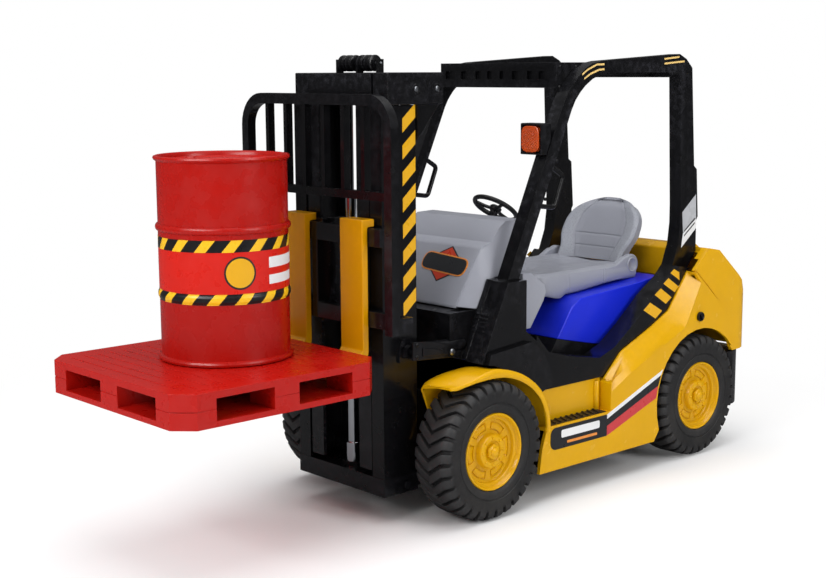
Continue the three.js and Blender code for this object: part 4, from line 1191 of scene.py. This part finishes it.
def fender_section(foot, head, crown, inner):
    """Ring across the fender: up the outer lip, in over the crown, and back along the underside."""
    foot, head, crown, inner = (Vector(point) for point in (foot, head, crown, inner))
    down = (Vector((0, WHEEL_Z)) - head).normalized() * 2.2
    roll = Vector(((head.x + crown.x) / 2, head.y * 0.45 + crown.y * 0.55))
    under = Vector((crown.x, crown.y * 0.7 + inner.y * 0.3))
    return [(96.4, *foot), (97.2, *foot.lerp(head, 0.2)), (97.4, *foot.lerp(head, 0.6)),
            (96.9, head.x + down.x * 0.05, head.y - 0.5), (95.6, *head), (93.6, *head.lerp(crown, 0.1)),
            (90.6, *roll), (84.0, *crown), (76.0, *crown), (68.0, *crown.lerp(inner, 0.25)),
            (61.0, *crown.lerp(inner, 0.7)), (58.2, *inner), (58.4, *(inner + down)), (68.0, *(under + down)),
            (84.0, *(crown + down)), (92.6, *(head + down)), (94.2, foot.x, foot.y + 0.4)]


def fender_shell():
    """Fender with a thick rounded outer lip and a crown that dips behind its front apex."""
    lines = [spline([station[k] for station in FENDER], 5) for k in range(4)]
    return soften(ringed("fender", [fender_section(*points) for points in zip(*lines)]), 0, smooth=50)


def along_chine(name, section):
    """Closed strip along the shoulder: section gives its ring from a shoulder point and a chine point."""
    return ringed(name, [section(*a, *b) for a, b in zip(SHOULDER, CHINE)])


def build_side_panels():
    """Side panels with a sculpted fender and a slanting facet between shoulder and chine."""
    for side, sign in SIDES:
        panel = refined_copy("left_side_panel", "panel")
        carve(panel, extruded("plain_fender", PLAIN_FENDER, 55, 98))
        carve(panel, along_chine("wedge", lambda ay, az, by, bz: [
            (SHOULDER_X, ay, az + 1.5), (97.5, ay, az + 1.5), (97.5, by, bz), (SKIRT_X, by, bz),
            (SHOULDER_X, ay, az)]))
        facet = along_chine("facet", lambda ay, az, by, bz: [
            (SHOULDER_X, ay, az), (SKIRT_X, by, bz), (93.2, by, bz - 1.0), (86.0, ay + 0.5, az - 2.6)])
        wall = soften(extruded("wall", FENDER_WALL, 56.4, 58.6), 0.5, 2)
        column = soften(extruded("column", arc(83.4, 136.5, 2.6, 0, 345, 23), 60.8, 86.0, "z"), 0.3, 1)
        pieces = [soften(panel, 0.8), soften(facet, 0.3, 1), wall, column, fender_shell()]
        whole = joined(f"{side}_side_panel_skin", pieces)
        if sign < 0:
            mirrored(whole)
        settle(soften(whole, 0, smooth=45), "chassis", YELLOW, f"{side}_side_panel")


# ---- cowl, hood cheeks, base vents and the seat box ----
# Edge of the hood and foot of its cheek, each as (y, z).
CREASE = [(5.2, 159.4), (26.2, 193.3), (32.4, 203.0), (44.0, 206.5), (52.0, 216.5), (60.0, 221.5),
          (74.0, 221.5)]
CHEEK_FOOT = [(18.5, 157.4), (23.3, 166.3), (32.8, 178.5), (44.0, 181.0), (52.0, 182.0), (60.0, 182.0),
              (74.0, 182.0)]


def build_cheeks():
    """Sloping sides of the hood between its crease and the foot of the pillars."""
    for side, sign in SIDES:
        rings = [[(sign * 51.8, cy, cz), (sign * 61.2, fy, fz), (sign * 58.0, fy + 4, fz + 0.3),
                  (sign * 48.6, cy + 5, cz - 1)] for (cy, cz), (fy, fz) in zip(CREASE, CHEEK_FOOT)]
        settle(soften(ringed(f"{side}_hood_cheek", rings), 1.0, 3), "chassis", GREY)


def build_base_vents():
    """Five louvres on the sloping base beside the hood."""
    foot, along, out = Vector((1.0, 119.4)), Vector((0.427, 0.905)), Vector((-0.905, 0.427))
    for side, sign in SIDES:
        bars = []
        for index in range(5):
            low_edge = foot + along * (24.5 + 3.4 * index)
            high_edge = low_edge + along * 1.6
            outline = [low_edge - out, high_edge - out, high_edge + out * 0.5, low_edge + out * 0.9]
            bars.append(soften(extruded("bar", outline, sign * 62.5, sign * 76.0), 0.25, 2))
        settle(soften(joined(f"{side}_base_vents", bars), 0), "chassis", BLACK)


def build_cowl():
    """Cowl cut back at its shoulders to make room for the hood cheeks."""
    cowl = refined_copy("cowl")
    for _, sign in SIDES:
        carve(cowl, extruded("shoulder", oblong(-20, 157.2, 40, 190), sign * 52.0, sign * 61.0))
    settle(soften(cowl, 1.2), "chassis", BLACK, "cowl")


def build_seat_box():
    """Blue seat box over a black foot, part black floor and part painted shade: the parting runs along its
    curved lower edge.
    """
    parting = [(80, 80), (80, 128.6), (90.8, 126.2), (122.9, 118.8), (159.7, 110.7), (177.0, 108.3),
               (187.0, 111.6), (197.8, 117.6), (210.7, 124.8), (223.2, 132.3), (235.8, 142.7), (240.5, 151.3),
               (240.5, 158.2), (260, 166), (260, 80)]
    # The black foot is partly the black floor lip and partly painted shade under the seat box.
    floor_and_shade_foot = refined_copy("seat_box", "seat_floor_and_shade_foot")
    carve(floor_and_shade_foot, extruded("parting", parting, -70, 70), "INTERSECT")
    settle(soften(floor_and_shade_foot, 0.6), "chassis", BLACK)
    box = carve(refined_copy("seat_box"), extruded("parting", parting, -70, 70))
    settle(soften(box, 1.8, 3), "chassis", BLUE, "seat_box")


# ---- roof ----
def build_roof():
    """Roof whose front header beam has eight slots."""
    slots = ((-60.7, -51.5), (-41.6, -35.3), (-24.5, -18.0), (-10.7, -4.6), (4.0, 8.0), (18.0, 24.5),
             (35.1, 41.2), (47.7, 54.0))
    tools = [extruded("slot", oblong(start, 333.5, end, 340.3), 101, 104.5, "y") for start, end in slots]
    roof = carve(refined_copy("roof_grille"), joined("slots", tools))
    settle(soften(roof, 0.8), "chassis", BLACK, "roof_grille")


def build_cab_screws():
    """Screws of the gusset plates under the roof and of the grab handles."""
    groups = (("gusset", 66.7, 1.3, ((106.5, 343.6), (125.6, 343.5), (105.9, 327.5))),
              ("handle", POST_X, 1.4, ((90.3, 269.8), (77.1, 240.5))))
    for kind, x, radius, spots in groups:
        for side, sign in SIDES:
            for index, (y, z) in enumerate(spots):
                screw(f"{side}_{kind}_screw_{index}", sign * x, y, z, sign, radius)


# ---- putting it together ----
def build_plain_parts():
    """Every CAD node that no special piece stands for yet."""
    for node in [node for node, obj in NODES.items() if not obj.hide_render]:
        refine(node)


build_stage()
build_wheels()
build_drum()
build_pallet()
build_side_prints()
build_cab_prints()
build_step_treads()
build_side_panels()
build_cowl()
build_base_vents()
build_cheeks()
build_seat_box()
build_roof()
build_cab_screws()
build_rear_body()
build_mast_prints()
build_seat_back()
build_seat_cushion()
build_hood()
build_hose()
build_tilt_links()
build_steering_wheel()
build_handles()
build_lamp()
build_fuel_cap()
build_pulleys()
build_plain_parts()
